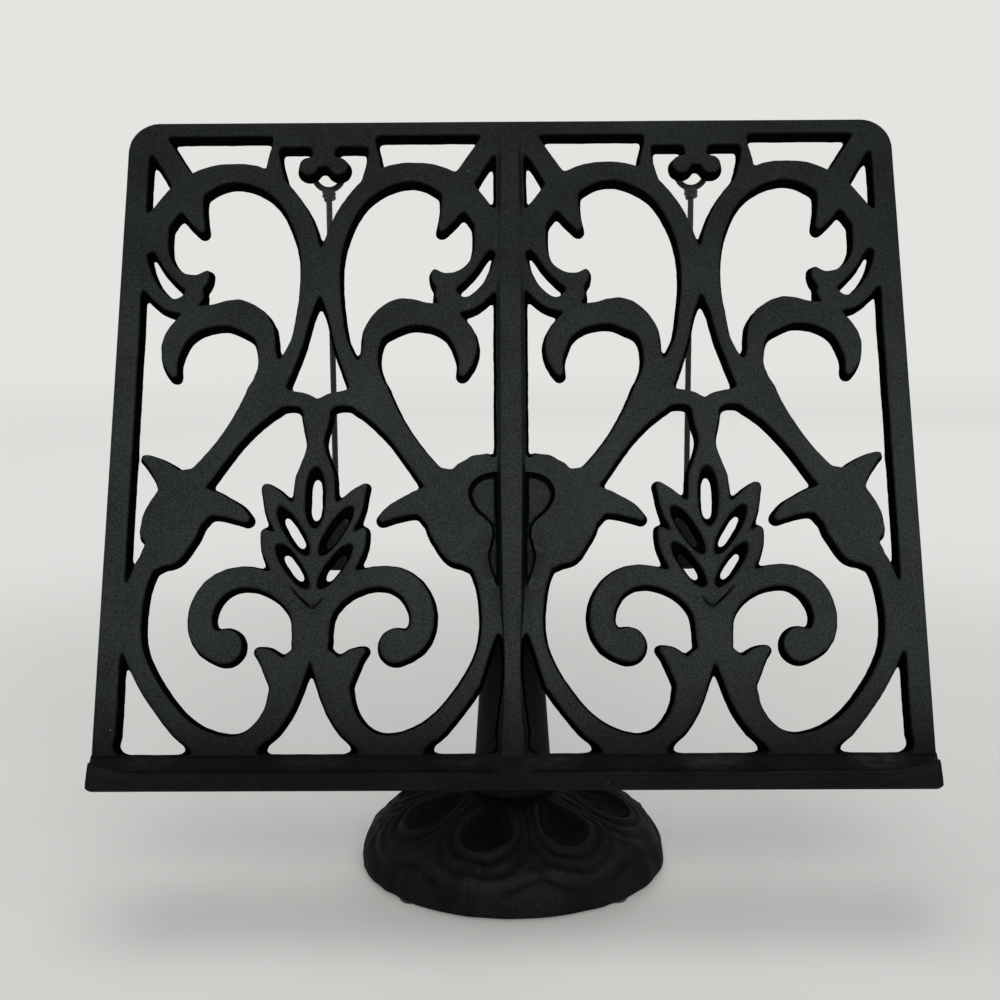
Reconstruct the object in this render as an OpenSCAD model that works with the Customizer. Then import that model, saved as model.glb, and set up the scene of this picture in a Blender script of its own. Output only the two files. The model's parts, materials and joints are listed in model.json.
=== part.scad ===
// Cast cookbook stand: a fretwork book rest with a shelf, on a tapered stem and a domed foot.
// Two page cords with small weights hang from eyes behind the top rail.
// Millimetres, +Z up, +X to the viewer's right, the front faces -Y.

/* [Book rest] */
// Width of the panel
panel_w = 290; // [284:1:296]
// Height of the panel along its own face
panel_h = 238; // [232:1:244]
// Thickness of the casting
panel_t = 6.5; // [5:0.5:9]
// Lean of the panel from the vertical, in degrees
tilt = 21; // [18:1:24]
// Radius of the two upper corners
corner_r = 10; // [6:1:14]
// Width of the side frames
frame_w = 8; // [7:0.5:9]
// Width of the top rail
rail_w = 5.6; // [5:0.2:7]
// Width of the centre bar
bar_w = 10; // [8:0.5:12]
// Height of the raised rib on the centre bar
rib_h = 1.2; // [0.6:0.2:2]
// Growth of every scroll from its face to mid thickness, as cast draft
draft = 0.6; // [0.2:0.1:0.8]
// Height of the panel's lower edge line above the floor
rest_z = 54.5; // [50:0.5:60]
// Distance of that line in front of the stem's axis
rest_reach = 42; // [40:0.5:44]

/* [Shelf] */
// Length of the lip; the shelf widens from it to the panel
shelf_l = 278; // [270:1:282]
// Reach of the lip in front of the panel
lip_reach = 26; // [22:1:32]
// Thickness of the shelf
shelf_t = 4; // [3.5:0.5:5]
// Thickness of the lip
lip_t = 5; // [4:0.5:6]
// Height of the lip above the shelf
lip_h = 2.4; // [2:0.2:4]
// Length of the ramp that rises to each end of the lip
ear_run = 16; // [12:1:20]
// Rise of the lip at its ends
ear_rise = 3.6; // [2.4:0.2:5]

/* [Mounting pad] */
// Height of the pad's centre up the panel
pad_v = 69; // [66:1:72]
// Width of the pad
pad_w = 34; // [30:1:38]
// Length of the pad
pad_l = 70; // [62:1:74]
// Depth of the recess between the pad's face and the panel's face
pad_recess = 2; // [1:0.5:3]
// Width of the boss that seats the stem
boss_w = 20; // [19:0.5:22]
// Length of the boss that seats the stem
boss_l = 58; // [54:1:62]

/* [Stem] */
// Radius of the stem above its foot flange
stem_r_low = 14.2; // [13:0.2:16]
// Radius of the stem at the height of the rest bolt
stem_r_high = 9; // [8.4:0.2:10]
// Radius of the stem's flange on the foot
flange_r = 17; // [16:0.5:19]
// Thickness of that flange
flange_t = 3.5; // [3:0.5:5]
// Height of the hollow sweep from the flange to the stem
sweep_h = 5; // [4:0.5:8]
// How far the stem rises past the centre of its seat
stem_rise = 15; // [12:1:18]

/* [Foot] */
// Radius of the foot
foot_r = 57; // [54:1:60]
// Rise of the dome above its rim
dome_h = 27; // [24:1:32]
// Height of the rim
rim_h = 2.5; // [2:0.5:4]
// Wall of the hollow foot
foot_wall = 5; // [4:0.5:6]
// Number of leaves round the foot
leaf_count = 8; // [6:1:10]
// How far the leaves stand out
leaf_rise = 1.2; // [0.6:0.2:1.6]
// Radius of the felt pads
felt_r = 4; // [3:0.5:4.5]
// Thickness of the felt pads
felt_t = 1.5; // [1:0.5:2.5]

/* [Fasteners] */
// Radius of the bolt that holds the book rest
rest_bolt_r = 3; // [2.5:0.5:3.5]
// Radius of the bolt that holds the foot
base_bolt_r = 4; // [3:0.5:4.5]
// Clearance round each bolt in its plain hole
hole_clear = 0.3; // [0.2:0.1:0.5]
// Clearance round each bolt in its tapped hole
thread_clear = 0.05; // [0.03:0.01:0.08]
// Thickness of each washer
washer_t = 1.6; // [1.2:0.2:2]
// Thickness of each lock washer
lock_t = 1.8; // [1.4:0.2:2.2]

/* [Page cords] */
// Distance of each cord from the middle of the stand
cord_x = 70.5; // [68:0.5:73]
// Diameter of the cord
cord_d = 2.4; // [2:0.2:2.8]
// Distance of the eyes below the panel's top edge
eye_drop = 9; // [8:0.5:10]
// Distance of the eye's hole behind the panel
eye_off = 6; // [6:0.5:8]
// Radius of the eye's hole
eye_hole_r = 2; // [1.9:0.1:2.2]
// Radius of the eye round its hole
eye_r = 4.2; // [3.8:0.1:4.4]
// Width of the eye
eye_w = 4; // [3:0.5:4]
// Mean radius of the cord's loop
loop_r = 6; // [5.8:0.1:7]
// Radius of the knots
knot_r = 3; // [2.6:0.1:3.2]
// Radius of the page weights
weight_r = 7; // [6:0.5:8]
// Distance of the page weights below the eyes
weight_drop = 134; // [120:2:150]
// Length of the page weights
weight_l = 28; // [26:1:32]

/* [Hidden] */
$fn = 48;

// The origin is under the middle of the stand's depth, so the foot's axis sits a little behind it.
axis_y = (rest_reach + lip_reach - foot_r) / 2;
rest_y = axis_y - rest_reach;

// The stem's axis meets the back of the boss at the height of the pad's centre.
boss_back = (rest_reach - pad_v * sin(tilt)) * cos(tilt);
seat_z = rest_z + pad_v * cos(tilt) - boss_back * sin(tilt);

// The scrolls are drawn for a panel of this size, and stretch to the panel's real one.
drawn_w = 290;
drawn_h = 238;
fit_x = panel_w / drawn_w;
fit_v = panel_h / drawn_h;

// Each half of the fretwork is mirrored about its own middle line, where its cord leaves.
half_x = cord_x * fit_x;
eye_v = panel_h - eye_drop;

// Scroll bars of one quarter: across from the half's middle line, height up the panel, width.
arch_bar = [
  [15.6, 131, 6], [12, 140, 5.8], [7.9, 150, 4.4], [5.9, 160, 5], [3.6, 170, 7], [3.3, 180, 7.2],
  [4.8, 189, 7], [7.9, 198, 6.8], [12.5, 206, 6.4], [18.2, 212, 7.2], [26, 216.2, 7.6], [34, 217.2, 7.2],
  [41, 216, 8.4], [47.5, 212.6, 9.6], [54.3, 207.8, 9], [61.8, 197, 9], [66.5, 189, 9]
];
upper_beak = [[50, 207.5, 10], [48.6, 202, 7.4], [46.6, 197.6, 4.6], [44.8, 194.2, 2.2]];
back_curl = [
  [61.8, 198, 9], [61.2, 190.5, 7.6], [58.9, 184, 4], [56.4, 179.3, 3.4], [53, 175.8, 4],
  [49, 173.4, 6], [45.4, 173.2, 6.4], [43.2, 175.6, 4], [42.4, 177.2, 2]
];
under_curl = [
  [69.5, 185, 8], [66, 177, 5.4], [62.6, 171, 4.8], [59, 167, 4.6], [55, 164.4, 4.8], [50.5, 164.6, 6],
  [46.5, 168, 7]
];
hook_leaf = [
  [52.6, 137.4, 2.2], [54.2, 142, 4.8], [54, 148, 7.6], [51.4, 154, 8.2], [45.5, 158.8, 9],
  [38, 160.5, 8.4], [31, 161.2, 10.8], [25.2, 158.4, 10.4], [20.4, 153.6, 7.8], [19, 147, 5.8],
  [18.2, 139.5, 7.4], [19, 131, 12]
];
diagonal_stem = [[19, 129, 14.2], [24.6, 121.8, 9.6], [30.5, 113.6, 7], [36, 106, 7], [41, 99.5, 8]];
crossbar = [[18, 129.2, 9], [10, 128.2, 5.4], [5, 127.4, 5.4], [0, 123.4, 6.6]];
outer_petal = [[61.9, 106.4, 1.6], [58.4, 104, 4.2], [53.6, 99.6, 7.8], [49, 93, 13]];
inner_petal = [[24.2, 83.4, 2.4], [28, 86, 5], [33.4, 88.2, 6.8], [38.5, 89.4, 10], [45, 88, 16]];
flower_body = [
  [45.8, 95.4, 12.6], [48.4, 90, 17.4], [50.6, 83.5, 20.6], [52.4, 78, 19.4], [53.8, 73.2, 15.8],
  [56.4, 70.2, 9.4]
];
side_band = [
  [59.4, 66.8, 6.6], [61.6, 60.6, 6.4], [63.4, 53, 7.4], [63.8, 45, 7.6], [62.2, 37, 6.6], [58.9, 29.5, 6],
  [53.7, 21.2, 5.8], [46.6, 12.4, 6], [38.4, 5.4, 8], [28, 2.6, 8], [20, 4.6, 7.6], [14.4, 10, 7.4],
  [10.6, 16.5, 8.4], [8.4, 24, 10], [5, 32, 8.6]
];
bud = [[18.6, 36.3, 1.6], [15.6, 34.6, 4.8], [12.2, 30.5, 7.6], [9, 25, 9]];
volute = [
  [0, 50, 12], [8.5, 56.6, 7.4], [15, 60.4, 6.8], [22, 62.3, 6.8], [29, 61.8, 7.4], [35, 58, 8],
  [38.6, 51.5, 8], [39, 45, 8], [36.2, 39.6, 8.4], [31, 37, 9]
];
upper_lobe = [[17.8, 95.4, 1.8], [15.4, 92, 5.6], [12, 86, 9.6], [6, 77, 11]];
lower_lobe = [[17.6, 79, 2], [15.4, 75, 6.4], [11.6, 68.6, 9], [4, 60, 10]];
cup_side = [[17.9, 234, 2.6], [18.3, 228, 2.4], [19, 222, 4.2], [17.8, 213, 6.6]];
corner_strut = [[65.6, 231.4, 9.4], [61.4, 226.8, 7.6], [54.2, 215.4, 8]];
quarter_bars = [
  arch_bar, upper_beak, back_curl, under_curl, hook_leaf, diagonal_stem, crossbar, inner_petal,
  side_band, bud, volute, upper_lobe, lower_lobe, cup_side, corner_strut
];
broad_bars = [outer_petal, flower_body];

// Ruffled edge that closes the gap between the centre bar and the flower's top beside it.
flower_bridge = [
  [3, 105.4], [7.6, 105.2], [9.6, 106.2], [11.6, 106.7], [14, 106.3], [16.4, 104.6], [19, 103.4], [20, 99],
  [16, 95.6], [14.4, 97], [12, 98.8], [8.6, 100], [3, 100.4]
];

// Bars on a half's middle line.
spray_stem = [
  [0, 121.6, 9.4], [0, 117, 7.6], [0, 112, 5.4], [0, 107, 7.6], [0, 101, 12], [0, 95, 14], [0, 60, 16]
];
root_stem = [[0, 39.4, 12.2], [0, 47, 13], [0, 56, 20]];
pendant_neck = [[0, 231.4, 11], [0, 229, 10], [0, 226, 8.2], [0, 223.6, 7.6]];
middle_bars = [spray_stem, root_stem, pendant_neck];
pendant_ball = [5.6, 219.8, 3.4];
volute_ball = [30, 37.9, 5.8];
cup_top_v = 227.9;
cup_half_w = 18;

// Leaf slots of the spray: two ends and the greatest width.
spray_slots = [
  [[0, 103], [0, 80.5], 7], [[12.2, 87], [2, 71.8], 5.6], [[12.2, 73.6], [1.8, 61.2], 5.4]
];

// Radius of the frame's lower inner corners.
corner_fill_r = 3.5;
bottom_rail_v = 0.4;
lower_edge_v = -(shelf_t - panel_t * sin(tilt)) / cos(tilt);

// Shelf: its back edge slopes with the openings' lower walls, and the lip rises a little at both ends.
shelf_back = 7.4;
lip_round = lip_t / 2;
crown_r = 1.4;

// Foot: flat seat on top, hollow below.
foot_seat_r = flange_r + 0.5;
rim_top = felt_t + rim_h;
foot_top = rim_top + dome_h * sqrt(1 - pow(foot_seat_r / foot_r, 2));
hollow_r = foot_r - 2 * foot_wall;
hollow_h = dome_h - foot_wall;
hollow_z = foot_top - 7.7;
felt_ring_r = foot_r - 6;

// Petal of the foot: distance from the axis, half width. Its edge is a raised ridge.
petal = [[19.5, 3.2], [23, 5.4], [28, 8.2], [33, 10.6], [38, 11.6], [42, 10.4], [45, 7], [46.6, 2.6]];
ridge_w = 2.2;

// Fasteners: distance of the rest bolt's spot face behind the boss, depths of the tapped holes.
spot_d = 6.5;
spot_r = 7.5;
rest_bolt_in = 11;
base_bolt_in = 15;
rest_head_r = 5.77;
rest_head_h = 4.4;
base_head_r = 7.5;
base_head_h = 5.3;

// Cord: drops below the eye's hole to the knot, to the cord's top, to the weight and to the end knot.
eye_y = rest_y + eye_v * sin(tilt) + (panel_t + eye_off) * cos(tilt);
eye_z = rest_z + eye_v * cos(tilt) - (panel_t + eye_off) * sin(tilt);
knot_drop = 2 * loop_r + 2;
cord_top = knot_drop + 2.5;
pocket_l = 8;
pocket_r = 3.6;
cord_end = weight_drop + weight_l - pocket_l;
end_knot_cut = 1.8;

iron = [0.09, 0.095, 0.1];
steel = [0.55, 0.56, 0.58];
felt = [0.05, 0.05, 0.05];
braid = [0.07, 0.07, 0.075];

// Points on a smooth curve through a list of knots.
function between(a, b, c, d, t) =
  0.5 * (2 * b + (c - a) * t + (2 * a - 5 * b + 4 * c - d) * t * t + (3 * b - a - 3 * c + d) * t * t * t);
function smooth(k, steps) =
  let (last = len(k) - 1)
  [
    for (i = [0 : last - 1]) for (j = [0 : steps - 1])
      between(k[max(i - 1, 0)], k[i], k[i + 1], k[min(i + 2, last)], j / steps),
    k[last]
  ];
function flat(p) = [p[0], p[1]];
function heading(p, i) =
  let (d = flat(p[min(i + 1, len(p) - 1)]) - flat(p[max(i - 1, 0)]))
  d / norm(d);
function edge_point(p, i, side) =
  let (h = heading(p, i))
  flat(p[i]) + side * p[i][2] / 2 * [-h[1], h[0]];

// A bar of changing width along a smooth line, with round ends.
module bar(knots, steps = 2) {
  p = smooth(knots, steps);
  last = len(p) - 1;
  for (i = [0 : last - 1])
    polygon([edge_point(p, i, 1), edge_point(p, i + 1, 1), edge_point(p, i + 1, -1), edge_point(p, i, -1)]);
  for (i = [0, last])
    translate(flat(p[i])) circle(d = p[i][2], $fn = 16);
}

// A pointed leaf slot between two ends.
module leaf_slot(ends) {
  run = ends[1] - ends[0];
  chord = norm(run);
  width = ends[2];
  radius = (chord * chord / 4 + width * width / 4) / width;
  translate((ends[0] + ends[1]) / 2) rotate(atan2(run[1], run[0]))
    intersection() {
      translate([0, radius - width / 2]) circle(radius, $fn = 36);
      translate([0, width / 2 - radius]) circle(radius, $fn = 36);
    }
}

module quarter_scrolls() {
  for (k = quarter_bars) bar(k);
  for (k = broad_bars) bar(k, 5);
  translate([pendant_ball[0], pendant_ball[1]]) circle(pendant_ball[2], $fn = 24);
  translate([volute_ball[0], volute_ball[1]]) circle(volute_ball[2], $fn = 24);
}

module half_scrolls() {
  difference() {
    union() {
      for (side = [0, 1]) mirror([side, 0]) quarter_scrolls();
      for (k = middle_bars) bar(k);
      translate([-cup_half_w, cup_top_v]) square([2 * cup_half_w, drawn_h - 1 - cup_top_v]);
    }
    for (side = [0, 1]) mirror([side, 0])
      for (s = spray_slots) leaf_slot(s);
  }
}

// Outline of the panel's face, smaller by the draft than the finished outline.
module panel_outline() {
  half = panel_w / 2 - draft;
  top = panel_h - draft;
  low = lower_edge_v + draft;
  arc = corner_r - draft;
  translate([-half, low]) square([2 * half, top - arc - low]);
  translate([-half + arc, low]) square([2 * half - 2 * arc, top - low]);
  for (side = [-1, 1]) translate([side * (half - arc), top - arc]) circle(arc);
}

// Fillet in a lower corner of the frame.
module corner_fill(x, side) {
  translate([x, bottom_rail_v - 0.1]) mirror([side > 0 ? 0 : 1, 0])
    difference() {
      translate([-0.1, 0]) square(corner_fill_r);
      translate([corner_fill_r, corner_fill_r + 0.1]) circle(corner_fill_r, $fn = 24);
    }
}

module panel_frame() {
  difference() {
    panel_outline();
    translate([-panel_w / 2 + frame_w, bottom_rail_v])
      square([panel_w - 2 * frame_w, panel_h - rail_w - bottom_rail_v]);
  }
  translate([-bar_w / 2, 0]) square([bar_w, panel_h - 1]);
  for (side = [-1, 1]) {
    corner_fill(side * bar_w / 2, side);
    corner_fill(side * (panel_w / 2 - frame_w), -side);
  }
}

// Outline of the whole casting at mid thickness.
module fretwork() {
  offset(delta = draft)
    union() {
      panel_frame();
      for (side = [0, 1]) mirror([side, 0]) {
        translate([half_x, 0]) scale([fit_x, fit_v]) half_scrolls();
        scale([fit_x, fit_v]) polygon(flower_bridge);
      }
    }
}

// Frame of the panel: x across, y up the face, z out of the front.
module on_rest() {
  translate([0, rest_y, rest_z]) rotate([90 - tilt, 0, 0]) children();
}

// Frame of the rest bolt: z runs from the boss's back towards the front of the panel.
module on_seat() {
  on_rest() translate([0, pad_v, -boss_back]) children();
}

// Bevelled rib on the face of the centre bar.
module centre_rib() {
  translate([0, panel_h - rail_w, -1]) rotate([90, 0, 0]) linear_extrude(panel_h - rail_w)
    polygon([
      [-bar_w / 2 + 0.4, 0], [bar_w / 2 - 0.4, 0], [bar_w / 2 - 0.4, 1], [bar_w / 2 - 1.4, 1 + rib_h],
      [1.4 - bar_w / 2, 1 + rib_h], [0.4 - bar_w / 2, 1]
    ]);
}

// Recessed web behind the centre bar, wide between the flowers, with the boss that seats the stem.
module mounting_pad() {
  translate([0, pad_v, -panel_t]) linear_extrude(panel_t - pad_recess) {
    translate([-pad_w / 2, -2]) square([pad_w, pad_l / 2 + 2]);
    translate([-boss_w / 2 + 1, -pad_l / 2]) square([boss_w - 2, pad_l / 2]);
  }
  translate([0, pad_v, -boss_back]) linear_extrude(boss_back - pad_recess - 1)
    offset(r = 5, $fn = 32) square([boss_w - 10, boss_l - 10], center = true);
}

// Lug behind the top rail that a cord's loop passes through.
module cord_eye() {
  translate([-eye_w / 2, eye_v, -panel_t - eye_off]) {
    rotate([0, 90, 0]) cylinder(r = eye_r, h = eye_w, $fn = 48);
    translate([0, -eye_r, 0]) cube([eye_w, 2 * eye_r, eye_off + 2]);
  }
}

// Shelf and lip: one section run along the stand, narrowed towards the lip, with a ramp at both ends.
module shelf() {
  front = -lip_reach;
  wide = panel_w / 2;
  narrow = shelf_l / 2;
  crown = lip_h - crown_r;
  rise = 0.9;
  intersection() {
    translate([-wide, rest_y, rest_z]) rotate([90, 0, 90]) linear_extrude(2 * wide)
      polygon([
        [front + 1.5, -shelf_t], [shelf_back, -shelf_t], [shelf_back, rise - shelf_back * tan(tilt)],
        [0.6, rise - 0.6 * tan(tilt)], [-1, 0.3], [-4, 0],
        [front + lip_t + 2, 0], [front + lip_t + 0.6, 0.3],
        for (a = [0 : 30 : 180]) [front + lip_round + lip_round * cos(a), crown + crown_r * sin(a)],
        [front, -shelf_t + 1.5]
      ]);
    translate([0, rest_y, rest_z - 2 * shelf_t]) linear_extrude(4 * shelf_t)
      polygon([
        [1 - narrow, front], [narrow - 1, front], [narrow, front + 1], [wide, 0], [wide, shelf_back],
        [-wide, shelf_back], [-wide, 0], [-narrow, front + 1]
      ]);
  }
  for (side = [0, 1]) mirror([side, 0, 0])
    translate([narrow, rest_y + front + lip_t - 0.6, rest_z]) rotate([90, 0, 0]) linear_extrude(lip_t - 1)
      polygon([
        [0, -1], [0, lip_h + ear_rise - 0.6], [-0.6, lip_h + ear_rise],
        [-0.1 * ear_run, lip_h + 0.72 * ear_rise], [-0.25 * ear_run, lip_h + 0.5 * ear_rise],
        [-0.45 * ear_run, lip_h + 0.28 * ear_rise],
        [-0.7 * ear_run, lip_h + 0.1 * ear_rise], [-ear_run, crown], [-ear_run, -1]
      ]);
}

module book_rest() {
  color(iron)
    difference() {
      union() {
        on_rest() translate([0, 0, -panel_t]) linear_extrude(panel_t) fretwork();
        on_rest() centre_rib();
        on_rest() mounting_pad();
        for (side = [-1, 1]) on_rest() translate([side * half_x, 0, 0]) cord_eye();
        shelf();
      }
      on_seat() translate([0, 0, -1]) cylinder(r = rest_bolt_r + thread_clear, h = rest_bolt_in + 2);
      for (side = [-1, 1])
        on_rest() translate([side * half_x - eye_w, eye_v, -panel_t - eye_off]) rotate([0, 90, 0])
          cylinder(r = eye_hole_r, h = 2 * eye_w);
    }
}

module pedestal_stem() {
  shoulder = foot_top + flange_t;
  lead = flange_r - 1;
  top = seat_z + stem_rise;
  cut_w = 4 * stem_r_low;
  color(iron)
    difference() {
      translate([0, axis_y, 0]) rotate_extrude($fn = 96)
        polygon([
          [0, foot_top], [flange_r, foot_top], [flange_r, shoulder - 1],
          for (a = [0 : 15 : 90]) [lead - (lead - stem_r_low) * sin(a), shoulder + sweep_h * (1 - cos(a))],
          [stem_r_high, seat_z], [stem_r_high - 0.4, top - 1.2], [stem_r_high - 1.6, top], [0, top]
        ]);
      on_seat() translate([-cut_w / 2, -seat_z, 0]) cube([cut_w, 2 * seat_z, cut_w]);
      on_seat() translate([0, 0, -cut_w]) cylinder(r = rest_bolt_r + hole_clear, h = 2 * cut_w);
      on_seat() translate([0, 0, -spot_d - cut_w]) cylinder(r = spot_r, h = cut_w);
      translate([0, axis_y, foot_top - 1]) cylinder(r = base_bolt_r + thread_clear, h = base_bolt_in + 4);
    }
}

function reversed(p) = [for (i = [len(p) - 1 : -1 : 0]) p[i]];

// Half section of the dome, lifted by a given height.
function dome(lift) =
  let (last = acos(foot_seat_r / foot_r))
  [for (i = [0 : 14]) [foot_r * cos(last * i / 14), rim_top + lift + dome_h * sin(last * i / 14)]];

module petal_outline() {
  polygon([
    for (p = petal) [p[1], p[0]],
    for (i = [len(petal) - 1 : -1 : 0]) [-petal[i][1], petal[i][0]]
  ]);
}

module petal_ridges() {
  for (i = [0 : leaf_count - 1]) rotate((i + 0.5) * 360 / leaf_count)
    difference() {
      petal_outline();
      offset(delta = -ridge_w) petal_outline();
    }
}

module pedestal_base() {
  last = asin((hollow_z - felt_t) / hollow_h);
  color(iron)
    translate([0, axis_y, 0]) {
      rotate_extrude($fn = 96)
        polygon([
          [hollow_r, felt_t], [foot_r - 1, felt_t], [foot_r, felt_t + 1], each dome(0),
          [base_bolt_r + hole_clear, foot_top], [base_bolt_r + hole_clear, hollow_z],
          for (i = [8 : -1 : 1]) [hollow_r * cos(last * i / 8), felt_t + hollow_h * sin(last * i / 8)]
        ]);
      intersection() {
        rotate_extrude($fn = 96) polygon([each dome(leaf_rise), each reversed(dome(-2))]);
        translate([0, 0, rim_top + 5]) linear_extrude(dome_h) petal_ridges();
      }
    }
}

// Flat ring, and a split ring.
module washer(radius, hole, thick) {
  difference() {
    cylinder(r = radius, h = thick);
    translate([0, 0, -1]) cylinder(r = hole, h = thick + 2);
  }
}

module lock_washer(radius, hole, thick) {
  difference() {
    washer(radius, hole, thick);
    translate([hole - 1, -0.6, -1]) cube([radius, 1.2, thick + 2]);
  }
}

// Hexagon bolt: its head stands below z = 0 and its shank above.
module hex_bolt(radius, length, head_r, head_h) {
  translate([0, 0, -head_h]) cylinder(r = head_r, h = head_h, $fn = 6);
  cylinder(r = radius, h = length);
}

module rest_bolt() {
  grip = spot_d + washer_t + lock_t;
  color(steel) on_seat() translate([0, 0, -grip])
    hex_bolt(rest_bolt_r, grip + rest_bolt_in, rest_head_r, rest_head_h);
}

module rest_washer() {
  color(steel) on_seat() translate([0, 0, -spot_d - washer_t])
    washer(2 * rest_bolt_r + 0.2, rest_bolt_r + hole_clear, washer_t);
}

module rest_lock_washer() {
  color(steel) on_seat() translate([0, 0, -spot_d - washer_t - lock_t])
    lock_washer(1.8 * rest_bolt_r, rest_bolt_r + hole_clear, lock_t);
}

module base_bolt() {
  grip = foot_top - hollow_z + washer_t + lock_t;
  color(steel) translate([0, axis_y, foot_top - grip])
    hex_bolt(base_bolt_r, grip + base_bolt_in, base_head_r, base_head_h);
}

module base_washer() {
  color(steel) translate([0, axis_y, hollow_z - washer_t])
    washer(2 * base_bolt_r, base_bolt_r + hole_clear, washer_t);
}

module base_lock_washer() {
  color(steel) translate([0, axis_y, hollow_z - washer_t - lock_t])
    lock_washer(1.8 * base_bolt_r, base_bolt_r + hole_clear, lock_t);
}

module foot_pad(i) {
  color(felt) translate([0, axis_y, 0]) rotate(45 + 90 * i) translate([felt_ring_r, 0, 0])
    cylinder(r = felt_r, h = felt_t);
}
module foot_pad_1() { foot_pad(0); }
module foot_pad_2() { foot_pad(1); }
module foot_pad_3() { foot_pad(2); }
module foot_pad_4() { foot_pad(3); }

// Frame of one cord: the origin is in the middle of its eye's hole.
module on_eye(side) {
  translate([side * half_x, eye_y, eye_z]) children();
}

module cord_loop(side) {
  color(braid) on_eye(side) {
    translate([0, 0, -loop_r]) rotate([90, 0, 0]) rotate_extrude($fn = 64)
      translate([loop_r, 0]) circle(d = cord_d, $fn = 32);
    difference() {
      translate([0, 0, -knot_drop]) sphere(knot_r);
      translate([-5, -5, -cord_top - 5]) cube([10, 10, 5]);
    }
  }
}

module cord(side) {
  color(braid) on_eye(side) translate([0, 0, -cord_end]) cylinder(d = cord_d, h = cord_end - cord_top);
}

// Slim turned drop with a bore for the cord and a pocket for its end knot: share of its fullness, share
// of its length.
weight_form = [
  [0.93, 0.03], [1, 0.12], [1, 0.28], [0.86, 0.45], [0.62, 0.62], [0.34, 0.79], [0.1, 0.93], [0, 0.97]
];
module page_weight(side) {
  bore = cord_d / 2 + hole_clear;
  neck = bore + 1.6;
  color(iron) on_eye(side) translate([0, 0, -weight_drop - weight_l]) rotate_extrude($fn = 64)
    polygon([
      [pocket_r, 0], [weight_r - 1.4, 0],
      for (f = weight_form) [neck + (weight_r - neck) * f[0], weight_l * f[1]],
      [neck - 0.7, weight_l], [bore, weight_l], [bore, pocket_l], [pocket_r, pocket_l]
    ]);
}

module end_knot(side) {
  color(braid) on_eye(side) translate([0, 0, -cord_end - end_knot_cut])
    difference() {
      sphere(knot_r);
      translate([-5, -5, end_knot_cut]) cube([10, 10, 5]);
    }
}

module left_cord_loop() { cord_loop(-1); }
module left_cord() { cord(-1); }
module left_page_weight() { page_weight(-1); }
module left_end_knot() { end_knot(-1); }
module right_cord_loop() { cord_loop(1); }
module right_cord() { cord(1); }
module right_page_weight() { page_weight(1); }
module right_end_knot() { end_knot(1); }

book_rest();
pedestal_stem();
pedestal_base();
rest_bolt();
rest_washer();
rest_lock_washer();
base_bolt();
base_washer();
base_lock_washer();
foot_pad_1();
foot_pad_2();
foot_pad_3();
foot_pad_4();
left_cord_loop();
left_cord();
left_page_weight();
left_end_knot();
right_cord_loop();
right_cord();
right_page_weight();
right_end_knot();
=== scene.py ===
import json
import math
import bpy
import bmesh
import numpy as np
from mathutils import Matrix, Vector
from mathutils.geometry import delaunay_2d_cdt

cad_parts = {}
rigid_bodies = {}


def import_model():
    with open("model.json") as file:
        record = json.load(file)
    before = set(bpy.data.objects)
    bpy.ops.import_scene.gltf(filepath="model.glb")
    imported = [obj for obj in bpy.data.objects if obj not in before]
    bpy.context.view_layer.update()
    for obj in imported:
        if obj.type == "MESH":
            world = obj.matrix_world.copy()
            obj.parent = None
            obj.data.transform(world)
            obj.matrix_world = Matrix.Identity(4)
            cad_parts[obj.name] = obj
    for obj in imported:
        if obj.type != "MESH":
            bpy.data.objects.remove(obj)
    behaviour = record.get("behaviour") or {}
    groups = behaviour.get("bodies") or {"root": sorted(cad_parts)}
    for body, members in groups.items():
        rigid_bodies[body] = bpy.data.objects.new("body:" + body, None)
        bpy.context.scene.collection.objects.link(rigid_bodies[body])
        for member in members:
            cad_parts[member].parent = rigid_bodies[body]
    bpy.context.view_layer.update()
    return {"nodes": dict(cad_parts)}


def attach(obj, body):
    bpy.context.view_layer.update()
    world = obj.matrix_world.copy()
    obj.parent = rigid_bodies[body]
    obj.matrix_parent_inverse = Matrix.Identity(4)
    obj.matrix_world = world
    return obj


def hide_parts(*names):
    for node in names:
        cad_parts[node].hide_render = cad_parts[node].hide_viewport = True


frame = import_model()
nodes = frame["nodes"]
scene = bpy.context.scene
mm = 0.001
print("frame loaded,", len(nodes), "nodes")


# camera: the photograph's view of the standing part
view = {"spot": (-1.47, -481.85, 208.23), "pitch": 8.33, "yaw": 0.32, "roll": -0.319, "lens": 48.7}


def makeCamera():
    pitch, yaw, roll = (math.radians(view[k]) for k in ("pitch", "yaw", "roll"))
    turn = Matrix.Rotation(yaw, 3, "Z")
    right = turn @ Vector((1, 0, 0))
    up = turn @ Vector((0, math.sin(pitch), math.cos(pitch)))
    ahead = turn @ Vector((0, math.cos(pitch), -math.sin(pitch)))
    side = math.cos(roll) * right + math.sin(roll) * up
    top = math.cos(roll) * up - math.sin(roll) * right
    pose = Matrix((side, top, -ahead)).transposed().to_4x4()
    pose.translation = Vector(view["spot"]) * mm
    data = bpy.data.cameras.new("photoView")
    data.lens, data.sensor_width = view["lens"], 36
    data.clip_start, data.clip_end = 0.01, 100
    cam = bpy.data.objects.new("photoView", data)
    scene.collection.objects.link(cam)
    cam.matrix_world = pose
    scene.camera = cam


makeCamera()


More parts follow.
